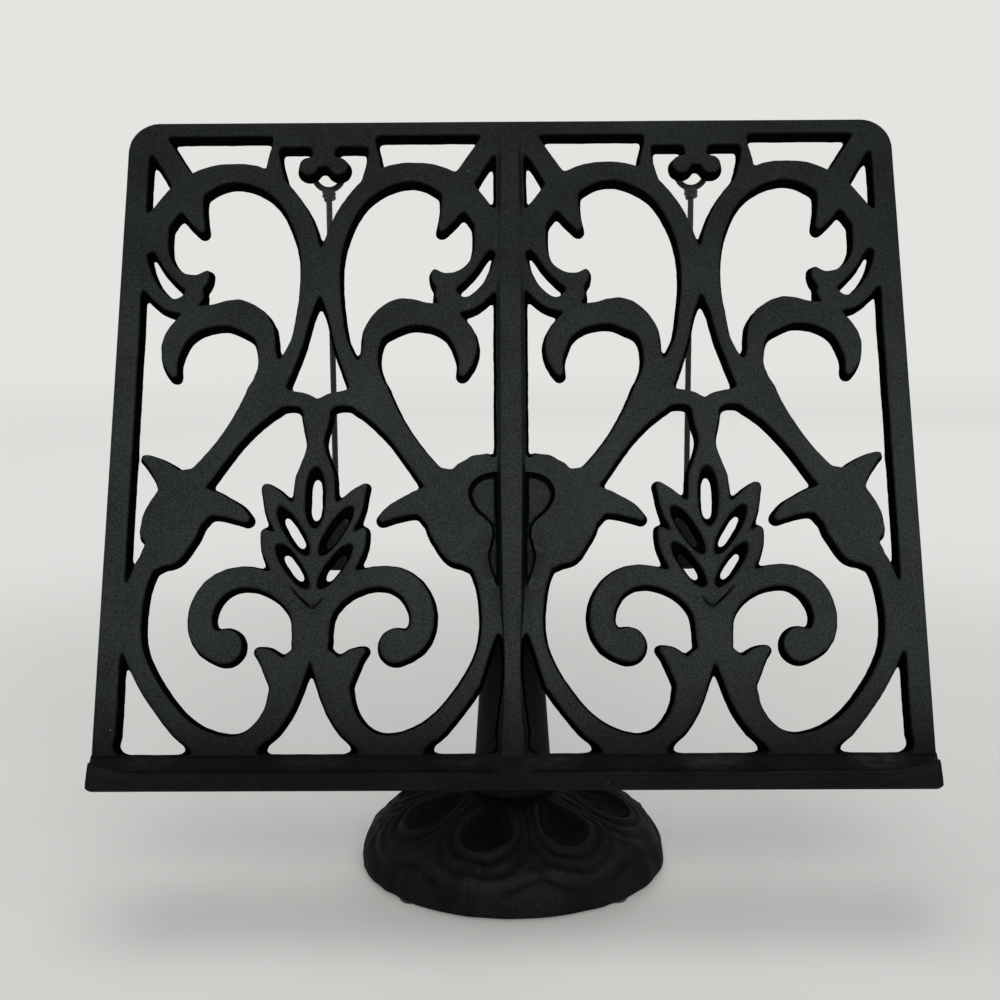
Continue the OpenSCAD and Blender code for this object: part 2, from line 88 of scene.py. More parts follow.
# shader sockets as values
class Wire:
    def __init__(self, tree, socket=None):
        self.tree, self.socket = tree, socket

    def add(self, kind, settings=(), sockets=(), out=0):
        node = self.tree.nodes.new(kind)
        for key, value in dict(settings).items():
            setattr(node, key, value)
        for key, value in dict(sockets).items():
            if isinstance(value, Wire):
                self.tree.links.new(value.socket, node.inputs[key])
            else:
                node.inputs[key].default_value = value
        return Wire(self.tree, node.outputs[out] if len(node.outputs) else None)

    def maths(self, operation, *values):
        return self.add("ShaderNodeMath", {"operation": operation}, dict(enumerate(values)))

    def __add__(self, other):
        return self.maths("ADD", self, other)

    def __radd__(self, other):
        return self.maths("ADD", other, self)

    def __sub__(self, other):
        return self.maths("SUBTRACT", self, other)

    def __rsub__(self, other):
        return self.maths("SUBTRACT", other, self)

    def __mul__(self, other):
        return self.maths("MULTIPLY", self, other)

    def __rmul__(self, other):
        return self.maths("MULTIPLY", other, self)

    def __truediv__(self, other):
        return self.maths("DIVIDE", self, other)

    def __rtruediv__(self, other):
        return self.maths("DIVIDE", other, self)

    def out(self, key):
        # another output of the same node
        return Wire(self.tree, self.socket.node.outputs[key])

    def between(self, low, high, smooth=True):
        kind = "SMOOTHSTEP" if smooth else "LINEAR"
        return self.add("ShaderNodeMapRange", {"interpolation_type": kind, "clamp": True},
                        {0: self, 1: low, 2: high, 3: 0.0, 4: 1.0})

    def mixColour(self, a, b):
        settings = {"data_type": "RGBA", "clamp_factor": True}
        return self.add("ShaderNodeMix", settings, {0: self, 6: a, 7: b}, out=2)

    def noise(self, scale, detail, rough):
        sockets = {"Vector": self, "Scale": scale, "Detail": detail, "Roughness": rough}
        return self.add("ShaderNodeTexNoise", {}, sockets)


def newMaterial(name):
    mat = bpy.data.materials.new(name)
    mat.use_nodes = True
    tree = mat.node_tree
    tree.nodes.clear()
    return mat, Wire(tree)


def endMaterial(wire, settings, flat=None):
    shader = wire.add("ShaderNodeBsdfPrincipled", {}, settings)
    if flat:
        shader = wire.add("ShaderNodeMixShader", {}, {0: flat[0], 1: flat[1], 2: shader})
    wire.add("ShaderNodeOutputMaterial", {}, {"Surface": shader})


def objectSpot(wire):
    return wire.add("ShaderNodeTexCoord", {}, {}, out=3)


def attributeOf(wire, name):
    return wire.add("ShaderNodeAttribute", {"attribute_name": name}, {}, out=2)


def upward(wire, vector):
    return wire.add("ShaderNodeSeparateXYZ", {}, {0: vector}, out=2)


# finishes: colours, roughness, the scales of their patterns, and the heights in metres where dust lies
ironFinish = {
    "deep": (0.0030, 0.0036, 0.0037, 1), "pale": (0.0255, 0.0295, 0.0300, 1),
    # the first colour on this line is the near-black of the painted shade on walls
    "wall": (0.0014, 0.0016, 0.0015, 1), "chip": (0.20, 0.20, 0.19, 1),
    # the last colour on this line is the edge tone: edge wear with a painted highlight
    "dust": (0.0170, 0.0145, 0.0115, 1), "wearAndHighlight": (0.020, 0.0225, 0.0230, 1),
    "rough": 0.50, "gloss": 0.06, "grain": 2700, "pits": 420.0, "cloud": 38.0, "chips": 260.0,
    "dusting": 240.0, "dustLow": (0.045, 0.05), "dustHigh": (0.0555, 0.0575),
}


def castPaint(name, dusty=0.0, rimmed=False):
    f = ironFinish
    mat, w = newMaterial(name)
    spot = objectSpot(w)
    grain = spot.noise(f["grain"], 2.0, 0.6)
    pits = spot.noise(f["pits"], 2.0, 0.5)
    cloud = spot.noise(f["cloud"], 3.0, 0.55)
    colour = (cloud * 0.2 + grain - 0.1).between(0.36, 0.64).mixColour(f["deep"], f["pale"])
    cells = w.add("ShaderNodeTexVoronoi", {"feature": "F1"}, {"Vector": spot, "Scale": f["chips"]})
    lucky = w.add("ShaderNodeSeparateColor", {}, {0: cells.out(1)})
    speck = (1 - cells.between(0.035, 0.10)) * lucky.between(0.955, 0.965)
    colour = (speck * 0.75).mixColour(colour, f["chip"])
    rough = f["rough"] + (cloud - 0.5) * 0.16 + (grain - 0.5) * 0.14
    flat = None
    if rimmed:
        # edge wear with a painted highlight: a lighter, less rough tone along edges and ridges
        wearAndHighlight = attributeOf(w, "rim") * (pits * 1.3 - 0.2).between(0.25, 0.7) * 0.5
        colour = wearAndHighlight.mixColour(colour, f["wearAndHighlight"])
        rough = rough - wearAndHighlight * 0.06
        # painted shade: where the face attribute is low, a near-black diffuse stands in for the shade on
        # walls, hollows and shaded places
        flat = attributeOf(w, "face"), w.add("ShaderNodeBsdfDiffuse", {}, {"Color": f["wall"]})
    if dusty:
        facing = upward(w, w.add("ShaderNodeNewGeometry", {}, {}, out=1))
        level = upward(w, spot)
        below = 1 - level.between(*f["dustHigh"])
        lying = facing.between(0.75, 0.98) * below * level.between(*f["dustLow"])
        dust = lying * spot.noise(f["dusting"], 3.0, 0.6).between(0.4, 0.7) * dusty
        colour = dust.mixColour(colour, f["dust"])
        rough = rough + dust * 0.3
    bumps = grain * 0.35 + pits * 0.6 + cloud * 0.4
    normal = w.add("ShaderNodeBump", {}, {"Strength": 0.6, "Distance": 0.0004, "Height": bumps})
    endMaterial(w, {"Base Color": colour, "Roughness": rough, "Normal": normal,
                    "Specular IOR Level": f["gloss"]}, flat)
    return mat


steelFinish = {"base": (0.50, 0.51, 0.52, 1), "dull": (0.30, 0.31, 0.32, 1), "rough": 0.34}


def zincSteel():
    f = steelFinish
    mat, w = newMaterial("zincSteel")
    spot = objectSpot(w)
    cloud = spot.noise(220.0, 4.0, 0.6)
    scratch = spot.noise(1900.0, 2.0, 0.5)
    colour = cloud.between(0.35, 0.7).mixColour(f["base"], f["dull"])
    rough = f["rough"] + (cloud - 0.5) * 0.2 + (scratch - 0.5) * 0.12
    normal = w.add("ShaderNodeBump", {}, {"Strength": 0.15, "Distance": 0.0001, "Height": scratch})
    endMaterial(w, {"Base Color": colour, "Roughness": rough, "Normal": normal, "Metallic": 1.0})
    return mat


feltFinish = {"dark": (0.012, 0.012, 0.012, 1), "light": (0.045, 0.045, 0.043, 1),
              "rough": 0.96, "sheen": 0.3}


def blackFelt():
    f = feltFinish
    mat, w = newMaterial("blackFelt")
    spot = objectSpot(w)
    fuzz = spot.noise(2600.0, 4.0, 0.7)
    wool = spot.noise(700.0, 3.0, 0.6)
    colour = (fuzz * 0.6 + wool * 0.4).between(0.35, 0.7).mixColour(f["dark"], f["light"])
    normal = w.add("ShaderNodeBump", {}, {"Strength": 0.7, "Distance": 0.0003, "Height": fuzz + wool})
    endMaterial(w, {"Base Color": colour, "Roughness": f["rough"], "Normal": normal,
                    "Sheen Weight": f["sheen"], "Specular IOR Level": 0.15})
    return mat


yarnFinish = {"dark": (0.007, 0.007, 0.008, 1), "light": (0.030, 0.030, 0.032, 1),
              "rough": 0.72, "sheen": 0.2}


def cordYarn():
    f = yarnFinish
    mat, w = newMaterial("cordYarn")
    spot = objectSpot(w)
    fibre = spot.noise(3800.0, 3.0, 0.65)
    tone = spot.noise(300.0, 2.0, 0.5)
    colour = (fibre * 0.7 + tone * 0.3).between(0.35, 0.7).mixColour(f["dark"], f["light"])
    normal = w.add("ShaderNodeBump", {}, {"Strength": 0.55, "Distance": 0.00015, "Height": fibre})
    endMaterial(w, {"Base Color": colour, "Roughness": f["rough"], "Normal": normal,
                    "Sheen Weight": f["sheen"], "Specular IOR Level": 0.3})
    return mat


# the book rest's and foot's paints carry painted shade and painted highlight through their attributes
restPaintAndShade = castPaint("restPaintAndShade", dusty=0.9, rimmed=True)
footPaintAndShade = castPaint("footPaintAndShade", rimmed=True)
plainPaint = castPaint("plainPaint")
steel = zincSteel()
felt = blackFelt()
yarn = cordYarn()
print("finishes ready")


# mesh helpers
def makeObject(name, verts, faces, mat, smooth=True):
    mesh = bpy.data.meshes.new(name)
    mesh.from_pydata([tuple(v) for v in verts], [], [tuple(f) for f in faces])
    mesh.materials.append(mat)
    obj = bpy.data.objects.new(name, mesh)
    scene.collection.objects.link(obj)
    if smooth:
        mesh.shade_smooth()
    return obj


def closeMesh(obj, sharp=None):
    bm = bmesh.new()
    bm.from_mesh(obj.data)
    bmesh.ops.remove_doubles(bm, verts=bm.verts, dist=1e-7)
    bmesh.ops.recalc_face_normals(bm, faces=bm.faces)
    bm.to_mesh(obj.data)
    bm.free()
    obj.data.shade_smooth()
    if sharp:
        obj.data.set_sharp_from_angle(angle=math.radians(sharp))
    return obj


def carry(obj, body, node):
    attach(obj, body)
    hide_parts(node)
    return obj


def vertexSpots(mesh):
    co = np.empty(len(mesh.vertices) * 3)
    mesh.vertices.foreach_get("co", co)
    return co.reshape(-1, 3)


def paintValues(mesh, name, values, domain="POINT"):
    attr = mesh.attributes.new(name, "FLOAT", domain)
    attr.data.foreach_set("value", values.astype(np.float32))


def ringFaces(count, around, closed=False):
    # quads between neighbouring rings, and a face on each open end
    faces = []
    for i in range(count if closed else count - 1):
        j = (i + 1) % count
        for k in range(around):
            n = (k + 1) % around
            faces.append((i * around + k, i * around + n, j * around + n, j * around + k))
    if not closed:
        faces.append(tuple(reversed(range(around))))
        faces.append(tuple(range((count - 1) * around, count * around)))
    return faces


def loft(sections):
    return [p for s in sections for p in s], ringFaces(len(sections), len(sections[0]))


def settle(obj):
    # live modifiers become plain mesh
    dg = bpy.context.evaluated_depsgraph_get()
    mesh = bpy.data.meshes.new_from_object(obj.evaluated_get(dg))
    obj.modifiers.clear()
    old, obj.data = obj.data, mesh
    bpy.data.meshes.remove(old)
    return obj


def combine(obj, tool, operation):
    mod = obj.modifiers.new(operation.lower(), "BOOLEAN")
    mod.operation, mod.object, mod.solver = operation, tool, "MANIFOLD"
    settle(obj)
    mesh = tool.data
    bpy.data.objects.remove(tool)
    bpy.data.meshes.remove(mesh)
    return obj


def softenedNode(node, mat, width, name, sharp=40):
    # a node's own solid with its edges eased
    src = nodes[node]
    obj = bpy.data.objects.new(name, src.data.copy())
    scene.collection.objects.link(obj)
    obj.data.materials.clear()
    obj.data.materials.append(mat)
    bm = bmesh.new()
    bm.from_mesh(obj.data)
    bmesh.ops.remove_doubles(bm, verts=bm.verts, dist=2e-7)
    bmesh.ops.dissolve_limit(bm, angle_limit=math.radians(0.6), verts=bm.verts, edges=bm.edges)
    bm.to_mesh(obj.data)
    bm.free()
    for p in obj.data.polygons:
        p.material_index = 0
    mod = obj.modifiers.new("ease", "BEVEL")
    mod.width, mod.segments, mod.limit_method = width * mm, 2, "ANGLE"
    mod.angle_limit, mod.use_clamp_overlap = math.radians(sharp), True
    settle(obj)
    obj.data.shade_smooth()
    obj.data.set_sharp_from_angle(angle=math.radians(sharp))
    return obj


# page cords: braid round a core, made by a node tree along a straight hang
cordMake = {"x": 70.5, "eyeY": 57.237, "eyeZ": 263.810, "top": 16.5, "end": 154.0, "d": 2.4, "strands": 6,
            "pitch": 7.2, "loopR": 6.0, "loopTube": 1.17, "knotDrop": 14.0, "knotR": 1.72, "endCut": 1.8,
            "around": 12, "twist": 2600.0}


class Tree:
    # geometry tree with the same way of adding nodes
    def __init__(self, name, inputs):
        self.tree = bpy.data.node_groups.new(name, "GeometryNodeTree")
        face = self.tree.interface
        self.ids = {}
        for label, kind in inputs:
            self.ids[label] = face.new_socket(name=label, in_out="INPUT", socket_type=kind).identifier
        face.new_socket(name="Mesh", in_out="OUTPUT", socket_type="NodeSocketGeometry")
        self.given = self.tree.nodes.new("NodeGroupInput")

    def take(self, label):
        return Wire(self.tree, self.given.outputs[label])

    def finish(self, shape):
        shape.add("NodeGroupOutput", {}, {0: shape})


def braidTree():
    number = "NodeSocketFloat"
    t = Tree("braid", [("Length", number), ("Radius", number), ("Pitch", number),
                       ("Strands", "NodeSocketInt"), ("Yarn", "NodeSocketMaterial")])
    length, radius, pitch, strands, cloth = (t.take(label) for label in t.ids)
    w = length
    down = w.add("ShaderNodeCombineXYZ", {}, {2: length * -1})
    line = w.add("GeometryNodeCurvePrimitiveLine", {}, {1: down})
    count = w.add("FunctionNodeFloatToInt", {}, {0: length / (pitch / 16)})
    line = w.add("GeometryNodeResampleCurve", {}, {"Curve": line, "Count": count})
    place = w.add("GeometryNodeInputPosition")
    depth = w.add("ShaderNodeSeparateXYZ", {}, {0: place}, out=2)
    profile = w.add("GeometryNodeCurvePrimitiveCircle", {}, {"Resolution": 6, "Radius": radius * 0.36})
    middle = w.add("GeometryNodeCurvePrimitiveCircle", {}, {"Resolution": 12, "Radius": radius * 0.66})
    parts = [w.add("GeometryNodeCurveToMesh", {}, {"Curve": line, "Profile Curve": middle,
                                                   "Fill Caps": True})]
    lay = depth / pitch * (2 * math.pi)
    for hand in (1, -1):
        turn = lay * hand
        weave = lay.maths("SINE", lay * strands)
        reach = radius * 0.62 + radius * (0.09 * hand) * weave
        spot = w.add("ShaderNodeCombineXYZ", {}, {0: reach * turn.maths("COSINE", turn),
                                                  1: reach * turn.maths("SINE", turn), 2: depth})
        strand = w.add("GeometryNodeSetPosition", {}, {"Geometry": line, "Position": spot})
        yarnShape = w.add("GeometryNodeCurveToMesh", {}, {"Curve": strand, "Profile Curve": profile,
                                                          "Fill Caps": True})
        points = w.add("GeometryNodeMeshLine", {}, {"Count": strands, "Offset": (0, 0, 0)})
        index = w.add("GeometryNodeInputIndex")
        spin = w.add("ShaderNodeCombineXYZ", {}, {2: index / strands * (2 * math.pi)})
        copies = w.add("GeometryNodeInstanceOnPoints", {}, {"Points": points, "Instance": yarnShape,
                                                            "Rotation": spin})
        parts.append(w.add("GeometryNodeRealizeInstances", {}, {0: copies}))
    join = t.tree.nodes.new("GeometryNodeJoinGeometry")
    for part in parts:
        t.tree.links.new(part.socket, join.inputs[0])
    whole = w.add("GeometryNodeRealizeInstances", {}, {0: Wire(t.tree, join.outputs[0])})
    t.finish(w.add("GeometryNodeSetMaterial", {}, {"Geometry": whole, "Material": cloth}))
    return t


braid = braidTree()


def grow(tree, name, values):
    obj = makeObject(name, [(0, 0, 0)], [], None, smooth=False)
    mod = obj.modifiers.new("grow", "NODES")
    mod.node_group = tree.tree
    for label, value in values.items():
        mod[tree.ids[label]] = value
    settle(obj)
    obj.data.shade_smooth()
    return obj


def sweep(path, radius, around, closed=False, twist=0.0):
    # tube along a path, with a fine lay of yarn on it
    path = np.array(path, float)
    count = len(path)
    ahead = np.roll(path, -1, 0) - np.roll(path, 1, 0)
    if not closed:
        ahead[0], ahead[-1] = path[1] - path[0], path[-1] - path[-2]
    ahead /= np.linalg.norm(ahead, axis=1)[:, None]
    side = np.cross(ahead[0], (0.31, 0.87, 0.39))
    verts, run = [], 0.0
    for i in range(count):
        side = side - ahead[i] * side.dot(ahead[i])
        side /= np.linalg.norm(side)
        other = np.cross(ahead[i], side)
        if i:
            run += np.linalg.norm(path[i] - path[i - 1])
        for k in range(around):
            a = 2 * math.pi * k / around
            r = radius * (1 + 0.06 * abs(math.sin(3 * a + twist * run)) - 0.05)
            verts.append(path[i] + r * (math.cos(a) * side + math.sin(a) * other))
    return verts, ringFaces(count, around, closed)


def joinParts(parts):
    verts, faces = [], []
    for v, f in parts:
        start = len(verts)
        verts += [tuple(p) for p in v]
        faces += [tuple(i + start for i in face) for face in f]
    return verts, faces


def barrelKnot(centre, half, turns, radius, tube):
    # the cord wound round itself
    steps = int(turns * 22)
    path = []
    for i in range(steps + 1):
        t = i / steps
        a = 2 * math.pi * turns * t
        ease = min(1.0, 8 * t, 8 * (1 - t))
        path.append((centre[0] + radius * (0.45 + 0.55 * ease) * math.cos(a),
                     centre[1] + radius * (0.45 + 0.55 * ease) * math.sin(a), centre[2] + half * (1 - 2 * t)))
    return sweep(path, tube, cordMake["around"], twist=cordMake["twist"])


def makeCord(side, sign):
    c = cordMake
    eye = Vector((sign * c["x"], c["eyeY"], c["eyeZ"])) * mm
    start = eye - Vector((0, 0, c["top"] * mm))
    length = (c["end"] - c["top"]) * mm
    body = side + "_page_cord"
    cord = grow(braid, side + "BraidedCord", {
        "Length": length, "Radius": c["d"] / 2 * mm, "Pitch": c["pitch"] * mm, "Strands": c["strands"],
        "Yarn": yarn})
    cord.data.transform(Matrix.Translation(start))
    carry(cord, body, side + "_cord")
    # loop through the eye, its barrel knot and the cord inside that knot
    reach, ring = c["loopR"] * mm, []
    for i in range(72):
        a = 2 * math.pi * i / 72
        ring.append((eye.x + reach * math.sin(a) * 0.96, eye.y, eye.z - reach * (1 - math.cos(a))))
    knotAt = (eye.x, eye.y, eye.z - c["knotDrop"] * mm)
    inner = [(eye.x, eye.y, eye.z - (c["knotDrop"] - 2.6 + 0.35 * k) * mm) for k in range(15)]
    parts = [sweep(ring, c["loopTube"] * mm, 14, closed=True, twist=c["twist"]),
             barrelKnot(knotAt, 1.9 * mm, 2.6, c["knotR"] * mm, 1.0 * mm),
             sweep(inner, 1.15 * mm, c["around"])]
    loop = closeMesh(makeObject(side + "TiedLoop", *joinParts(parts), yarn))
    carry(loop, body, side + "_cord_loop")
    # stopper knot in the weight's pocket
    stopAt = (eye.x, eye.y, eye.z - (c["end"] + c["endCut"]) * mm)
    inner = [(stopAt[0], stopAt[1], stopAt[2] + (1.9 - 0.42 * k) * mm) for k in range(11)]
    parts = [barrelKnot(stopAt, 1.0 * mm, 2.0, c["knotR"] * mm, 0.95 * mm),
             sweep(inner, 1.1 * mm, c["around"])]
    knot = closeMesh(makeObject(side + "StopperKnot", *joinParts(parts), yarn))
    carry(knot, body, side + "_end_knot")
    weight = softenedNode(side + "_page_weight", plainPaint, 0.35, side + "PageWeight", sharp=50)
    carry(weight, body, side + "_page_weight")


makeCord("left", -1)
makeCord("right", 1)
print("page cords hung")


# book rest: the casting's outline as a field, contoured at depths
restMake = {"y": -36.5, "z": 54.5, "tilt": 21.0, "w": 290.0, "h": 238.0, "t": 6.5, "corner": 12.0,
            "low": -2.3, "step": 0.4, "reach": 3.4, "blur": 0.65, "draft": 0.75, "slotShift": 0.42,
            "wobble": 0.16, "ragged": 0.09, "spacing": 0.95, "sill": 7.0, "sillBlur": 1.4, "sillDrop": 0.8,
            "shelfL": 278.0, "lipReach": 26.0, "shelfT": 4.0, "shelfRise": 0.9, "lipH": 2.4, "earRise": 4.2,
            "earRun": 17.0, "earLean": 1.2, "sharp": 48}
tilt = math.radians(restMake["tilt"])
# cord eyes and the stem's seat, behind the panel: depths run back from its face
lugMake = {"x": 70.5, "v": 229.0, "n": -12.5, "r": 4.2, "holeR": 2.0, "holeHalf": 4.0}
bossMake = {"v": 69.0, "w": 20.0, "h": 58.0, "corner": 5.0, "boreR": 3.05, "bore": (-17.5, -5.1),
            "layers": ((0.9, -16.1), (0.25, -15.9), (0, -15.3), (0, -7.4), (-0.4, -6.9), (-1.0, -6.6),
                       (-1.0, -3.0))}
# sunken leaf on both sides of the centre bar: points on its edge, then depths by distance inside it
leafMake = {"edge": [(4.6, 100.4), (9.6, 99.6), (13.0, 97.8), (15.1, 95.0), (15.7, 92.4), (15.0, 89.4),
                     (13.0, 86.0), (10.0, 83.2), (7.8, 81.0), (7.0, 77.8), (7.7, 73.8), (8.6, 69.8),
                     (8.0, 66.0), (6.5, 61.4), (4.6, 56.5)],
            "inside": [0.0, 0.15, 0.6, 1.0, 1.5, 2.0], "depth": [0.0, -0.4, -1.6, -2.3, -2.8, -3.0]}
# slots of a leaf spray: outer tip, inner tip, half width, and of the hole behind its half width and inset
sprayMake = {"x": 70.1, "slots": [((0.0, 102.8), (0.2, 79.6), 3.75, 1.85, 3.9)]
             + [((side * 13.3, 88.1), (side * 1.8, 69.8), 3.15, 1.5, 4.3) for side in (-1, 1)]
             + [((side * 13.3, 74.5), (side * 1.9, 58.1), 3.05, 1.45, 4.5) for side in (-1, 1)]}
# two creases where each spray's stalk parts: points across, up and deep, then the shares of depth beside them
creaseMake = {"spines": ([(8.4, 59.2, 0.0), (6.2, 57.0, -0.9), (3.9, 54.7, -1.15), (1.9, 52.8, -1.1),
                          (0.4, 51.4, -0.8)],
                         [(-4.6, 55.4, 0.0), (-3.2, 53.9, -0.75), (-2.2, 52.8, -0.9), (-1.2, 51.8, -0.8)]),
              "shares": ((0.0, 1.0), (0.42, 0.85), (-0.42, 0.85), (0.85, 0.25), (-0.85, 0.25), (1.2, 0.0),
                         (-1.2, 0.0))}
# the gap between the centre bar and each arm, under the leaf
gapMake = [(4.5, 42.4), (3.3, 40.2), (3.0, 37.3), (2.85, 33.0), (2.85, 28.5), (3.15, 24.0), (3.65, 19.0),
           (4.3, 14.0), (4.9, 10.0), (5.5, 6.4), (8.5, 6.4), (12.0, 14.0), (11.2, 24.4), (8.6, 32.7),
           (6.7, 38.4), (5.3, 42.1)]


def slotLoops(behind):
    t = 0.5 - 0.5 * np.cos(np.linspace(0, math.pi, 29))
    loops = []
    for sign in (-1, 1):
        for outer, inner, front, back, inset in sprayMake["slots"]:
            run = np.array(inner) - outer
            ahead = run / np.linalg.norm(run)
            across = np.array((-ahead[1], ahead[0]))
            start, half, blunt = np.array(outer) + (sprayMake["x"], 0), front, 2.2
            if behind:
                start, run, half, blunt = start + inset * ahead, run - 2 * inset * ahead, back, 4.0
            line = start + np.outer(t, run)
            bulge = np.outer(half * np.sqrt(1 - np.abs(2 * t - 1) ** blunt), across)
            loops.append(np.vstack([line + bulge, (line - bulge)[-2:0:-1]]) * (sign, 1))
    return loops


def slotField(gx, gy):
    # the wall slants from the wide front edge to the small hole behind
    m = restMake
    front, back = (distanceField(slotLoops(behind), gx, gy) for behind in (False, True))
    share = np.clip(back / np.maximum(back - front, 1e-6), 0, 1)
    wall = share * (m["slotShift"] + m["draft"]) - m["draft"]
    wall = np.where(back < 0, 0.8 * back - m["draft"], wall)
    return blurred(np.where(front > 0, m["slotShift"] + 0.8 * front, wall), 1.0)


def smoothLine(points, per=8):
    p = np.array([points[0]] + list(points) + [points[-1]], float)
    out = []
    for a, b, c, d in zip(p, p[1:], p[2:], p[3:]):
        for t in np.arange(per) / per:
            out.append(b + 0.5 * t * (c - a + t * (2 * a - 5 * b + 4 * c - d + t * (3 * b - a - 3 * c + d))))
    return np.array(out + [p[-1]])


def toPanel(points):
    y, z = points[:, 1] / mm - restMake["y"], points[:, 2] / mm - restMake["z"]
    s, c = math.sin(tilt), math.cos(tilt)
    return np.stack([points[:, 0] / mm, s * y + c * z, s * z - c * y], 1)


def fromPanel(points):
    points = np.asarray(points, float)
    s, c = math.sin(tilt), math.cos(tilt)
    x, v, n = points[:, 0], points[:, 1], points[:, 2]
    return np.stack([x, restMake["y"] + s * v - c * n, restMake["z"] + c * v + s * n], 1) * mm


def openingLoops():
    # closed loops of the face's openings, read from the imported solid
    mesh = nodes["book_rest"].data
    mesh.calc_loop_triangles()
    tri = np.empty(len(mesh.loop_triangles) * 3, int)
    mesh.loop_triangles.foreach_get("vertices", tri)
    p = toPanel(vertexSpots(mesh))
    keys, same = np.unique(np.round(p, 3), axis=0, return_inverse=True)
    tri = same.reshape(-1)[tri].reshape(-1, 3)
    q = keys[tri]
    flat = (np.abs(q[:, :, 2]) < 0.02).all(1)
    rib = ((q[:, :, 2] > -0.02) & (q[:, :, 2] < 1.3) & (np.abs(q[:, :, 0]) < 5.2) & (q[:, :, 1] > 0.6)).all(1)
    tri = tri[flat | rib]
    edges = np.sort(np.concatenate([tri[:, [0, 1]], tri[:, [1, 2]], tri[:, [2, 0]]]), 1)
    edges, count = np.unique(edges, axis=0, return_counts=True)
    links = {}
    for a, b in edges[count == 1]:
        links.setdefault(a, []).append(b)
        links.setdefault(b, []).append(a)
    loops = []
    while links:
        first = next(iter(links))
        loop, at, last = [first], first, None
        while True:
            nexts = [n for n in links[at] if n != last] or links[at]
            last, at = at, nexts[0]
            if at == first or at not in links or len(loop) > 20000:
                break
            loop.append(at)
        for i in loop:
            links.pop(i, None)
        loops.append(keys[loop][:, :2])
    return loops


def areaOf(loop):
    x, y = loop[:, 0], loop[:, 1]
    return 0.5 * float(np.sum(x * np.roll(y, -1) - np.roll(x, -1) * y))


def distanceField(loops, gx, gy):
    # signed: positive in the metal
    reach = restMake["reach"]
    dist = np.full((len(gy), len(gx)), reach)
    inside = np.zeros(dist.shape, bool)
    for loop in loops:
        nxt = np.roll(loop, -1, 0)
        for a, b in zip(loop, nxt):
            lo, hi = np.minimum(a, b) - reach, np.maximum(a, b) + reach
            i0, i1 = np.searchsorted(gx, (lo[0], hi[0]))
            j0, j1 = np.searchsorted(gy, (lo[1], hi[1]))
            if i1 <= i0 or j1 <= j0:
                continue
            px, py = gx[None, i0:i1], gy[j0:j1, None]
            d = b - a
            t = np.clip(((px - a[0]) * d[0] + (py - a[1]) * d[1]) / max(d.dot(d), 1e-12), 0, 1)
            near = np.hypot(px - a[0] - t * d[0], py - a[1] - t * d[1])
            dist[j0:j1, i0:i1] = np.minimum(dist[j0:j1, i0:i1], near)
            # each edge turns the points to its right inside out
            if a[1] != b[1]:
                r0, r1 = np.searchsorted(gy, sorted((a[1], b[1])))
                for j in range(r0, r1):
                    x = a[0] + (gy[j] - a[1]) / (b[1] - a[1]) * (b[0] - a[0])
                    inside[j, np.searchsorted(gx, x):] ^= True
    return np.where(inside, -dist, dist)


def blurred(field, sigma):
    k = int(3 * sigma) + 1
    w = np.exp(-0.5 * (np.arange(-k, k + 1) / sigma) ** 2)
    w /= w.sum()
    for axis in (0, 1):
        pad = [(0, 0), (0, 0)]
        pad[axis] = (k, k)
        wide = np.pad(field, pad, mode="edge")
        field = sum(w[i] * (wide[i:i + field.shape[0]] if axis == 0 else wide[:, i:i + field.shape[1]])
                    for i in range(2 * k + 1))
    return field


def wander(x, y, size, seed):
    # slow unevenness of a hand-made mould
    rng = np.random.default_rng(seed)
    total = 0.0
    for _ in range(7):
        ax, ay, ph = rng.normal(0, 1, 3)
        total = total + np.sin((ax * x + ay * y) * 2 * math.pi / size * 0.6 + ph * 6)
    return total / 7 * 1.4


def sample(field, gx, gy, pts):
    u = np.clip((pts[:, 0] - gx[0]) / (gx[1] - gx[0]), 0, len(gx) - 1.001)
    v = np.clip((pts[:, 1] - gy[0]) / (gy[1] - gy[0]), 0, len(gy) - 1.001)
    i, j = u.astype(int), v.astype(int)
    u, v = u - i, v - j
    return (field[j, i] * (1 - u) * (1 - v) + field[j, i + 1] * u * (1 - v)
            + field[j + 1, i] * (1 - u) * v + field[j + 1, i + 1] * u * v)


def contours(field, level, gx, gy):
    # marching squares, linked into closed loops
    f = field - level
    f = np.where(np.abs(f) < 1e-9, 1e-9, f)
    s = f > 0
    code = s[:-1, :-1] * 1 + s[:-1, 1:] * 2 + s[1:, 1:] * 4 + s[1:, :-1] * 8
    table = {1: "ad", 2: "ba", 3: "bd", 4: "cb", 5: "adcb", 6: "ca", 7: "cd", 8: "dc", 9: "ac", 10: "badc",
             11: "bc", 12: "db", 13: "ab", 14: "da"}
    step = {}
    for j, i in zip(*np.where((code > 0) & (code < 15))):
        sides = {"a": (j, i, 0), "c": (j + 1, i, 0), "d": (j, i, 1), "b": (j, i + 1, 1)}
        word = table[int(code[j, i])]
        for k in range(0, len(word), 2):
            step[sides[word[k]]] = sides[word[k + 1]]

    def spot(edge):
        j, i, up = edge
        j2, i2 = (j + 1, i) if up else (j, i + 1)
        t = f[j, i] / (f[j, i] - f[j2, i2])
        return gx[i] + t * (gx[i2] - gx[i]), gy[j] + t * (gy[j2] - gy[j])
    loops = []
    while step:
        first, at = next(iter(step.items()))
        del step[first]
        loop = [first]
        while at != first and at in step:
            loop.append(at)
            at = step.pop(at)
        if len(loop) > 7:
            loops.append(np.array([spot(e) for e in loop]))
    return loops


def respaced(loop, spacing):
    closed = np.vstack([loop, loop[:1]])
    run = np.concatenate([[0], np.cumsum(np.hypot(*np.diff(closed, axis=0).T))])
    count = max(8, int(round(run[-1] / spacing)))
    at = np.linspace(0, run[-1], count, endpoint=False)
    return np.stack([np.interp(at, run, closed[:, 0]), np.interp(at, run, closed[:, 1])], 1)


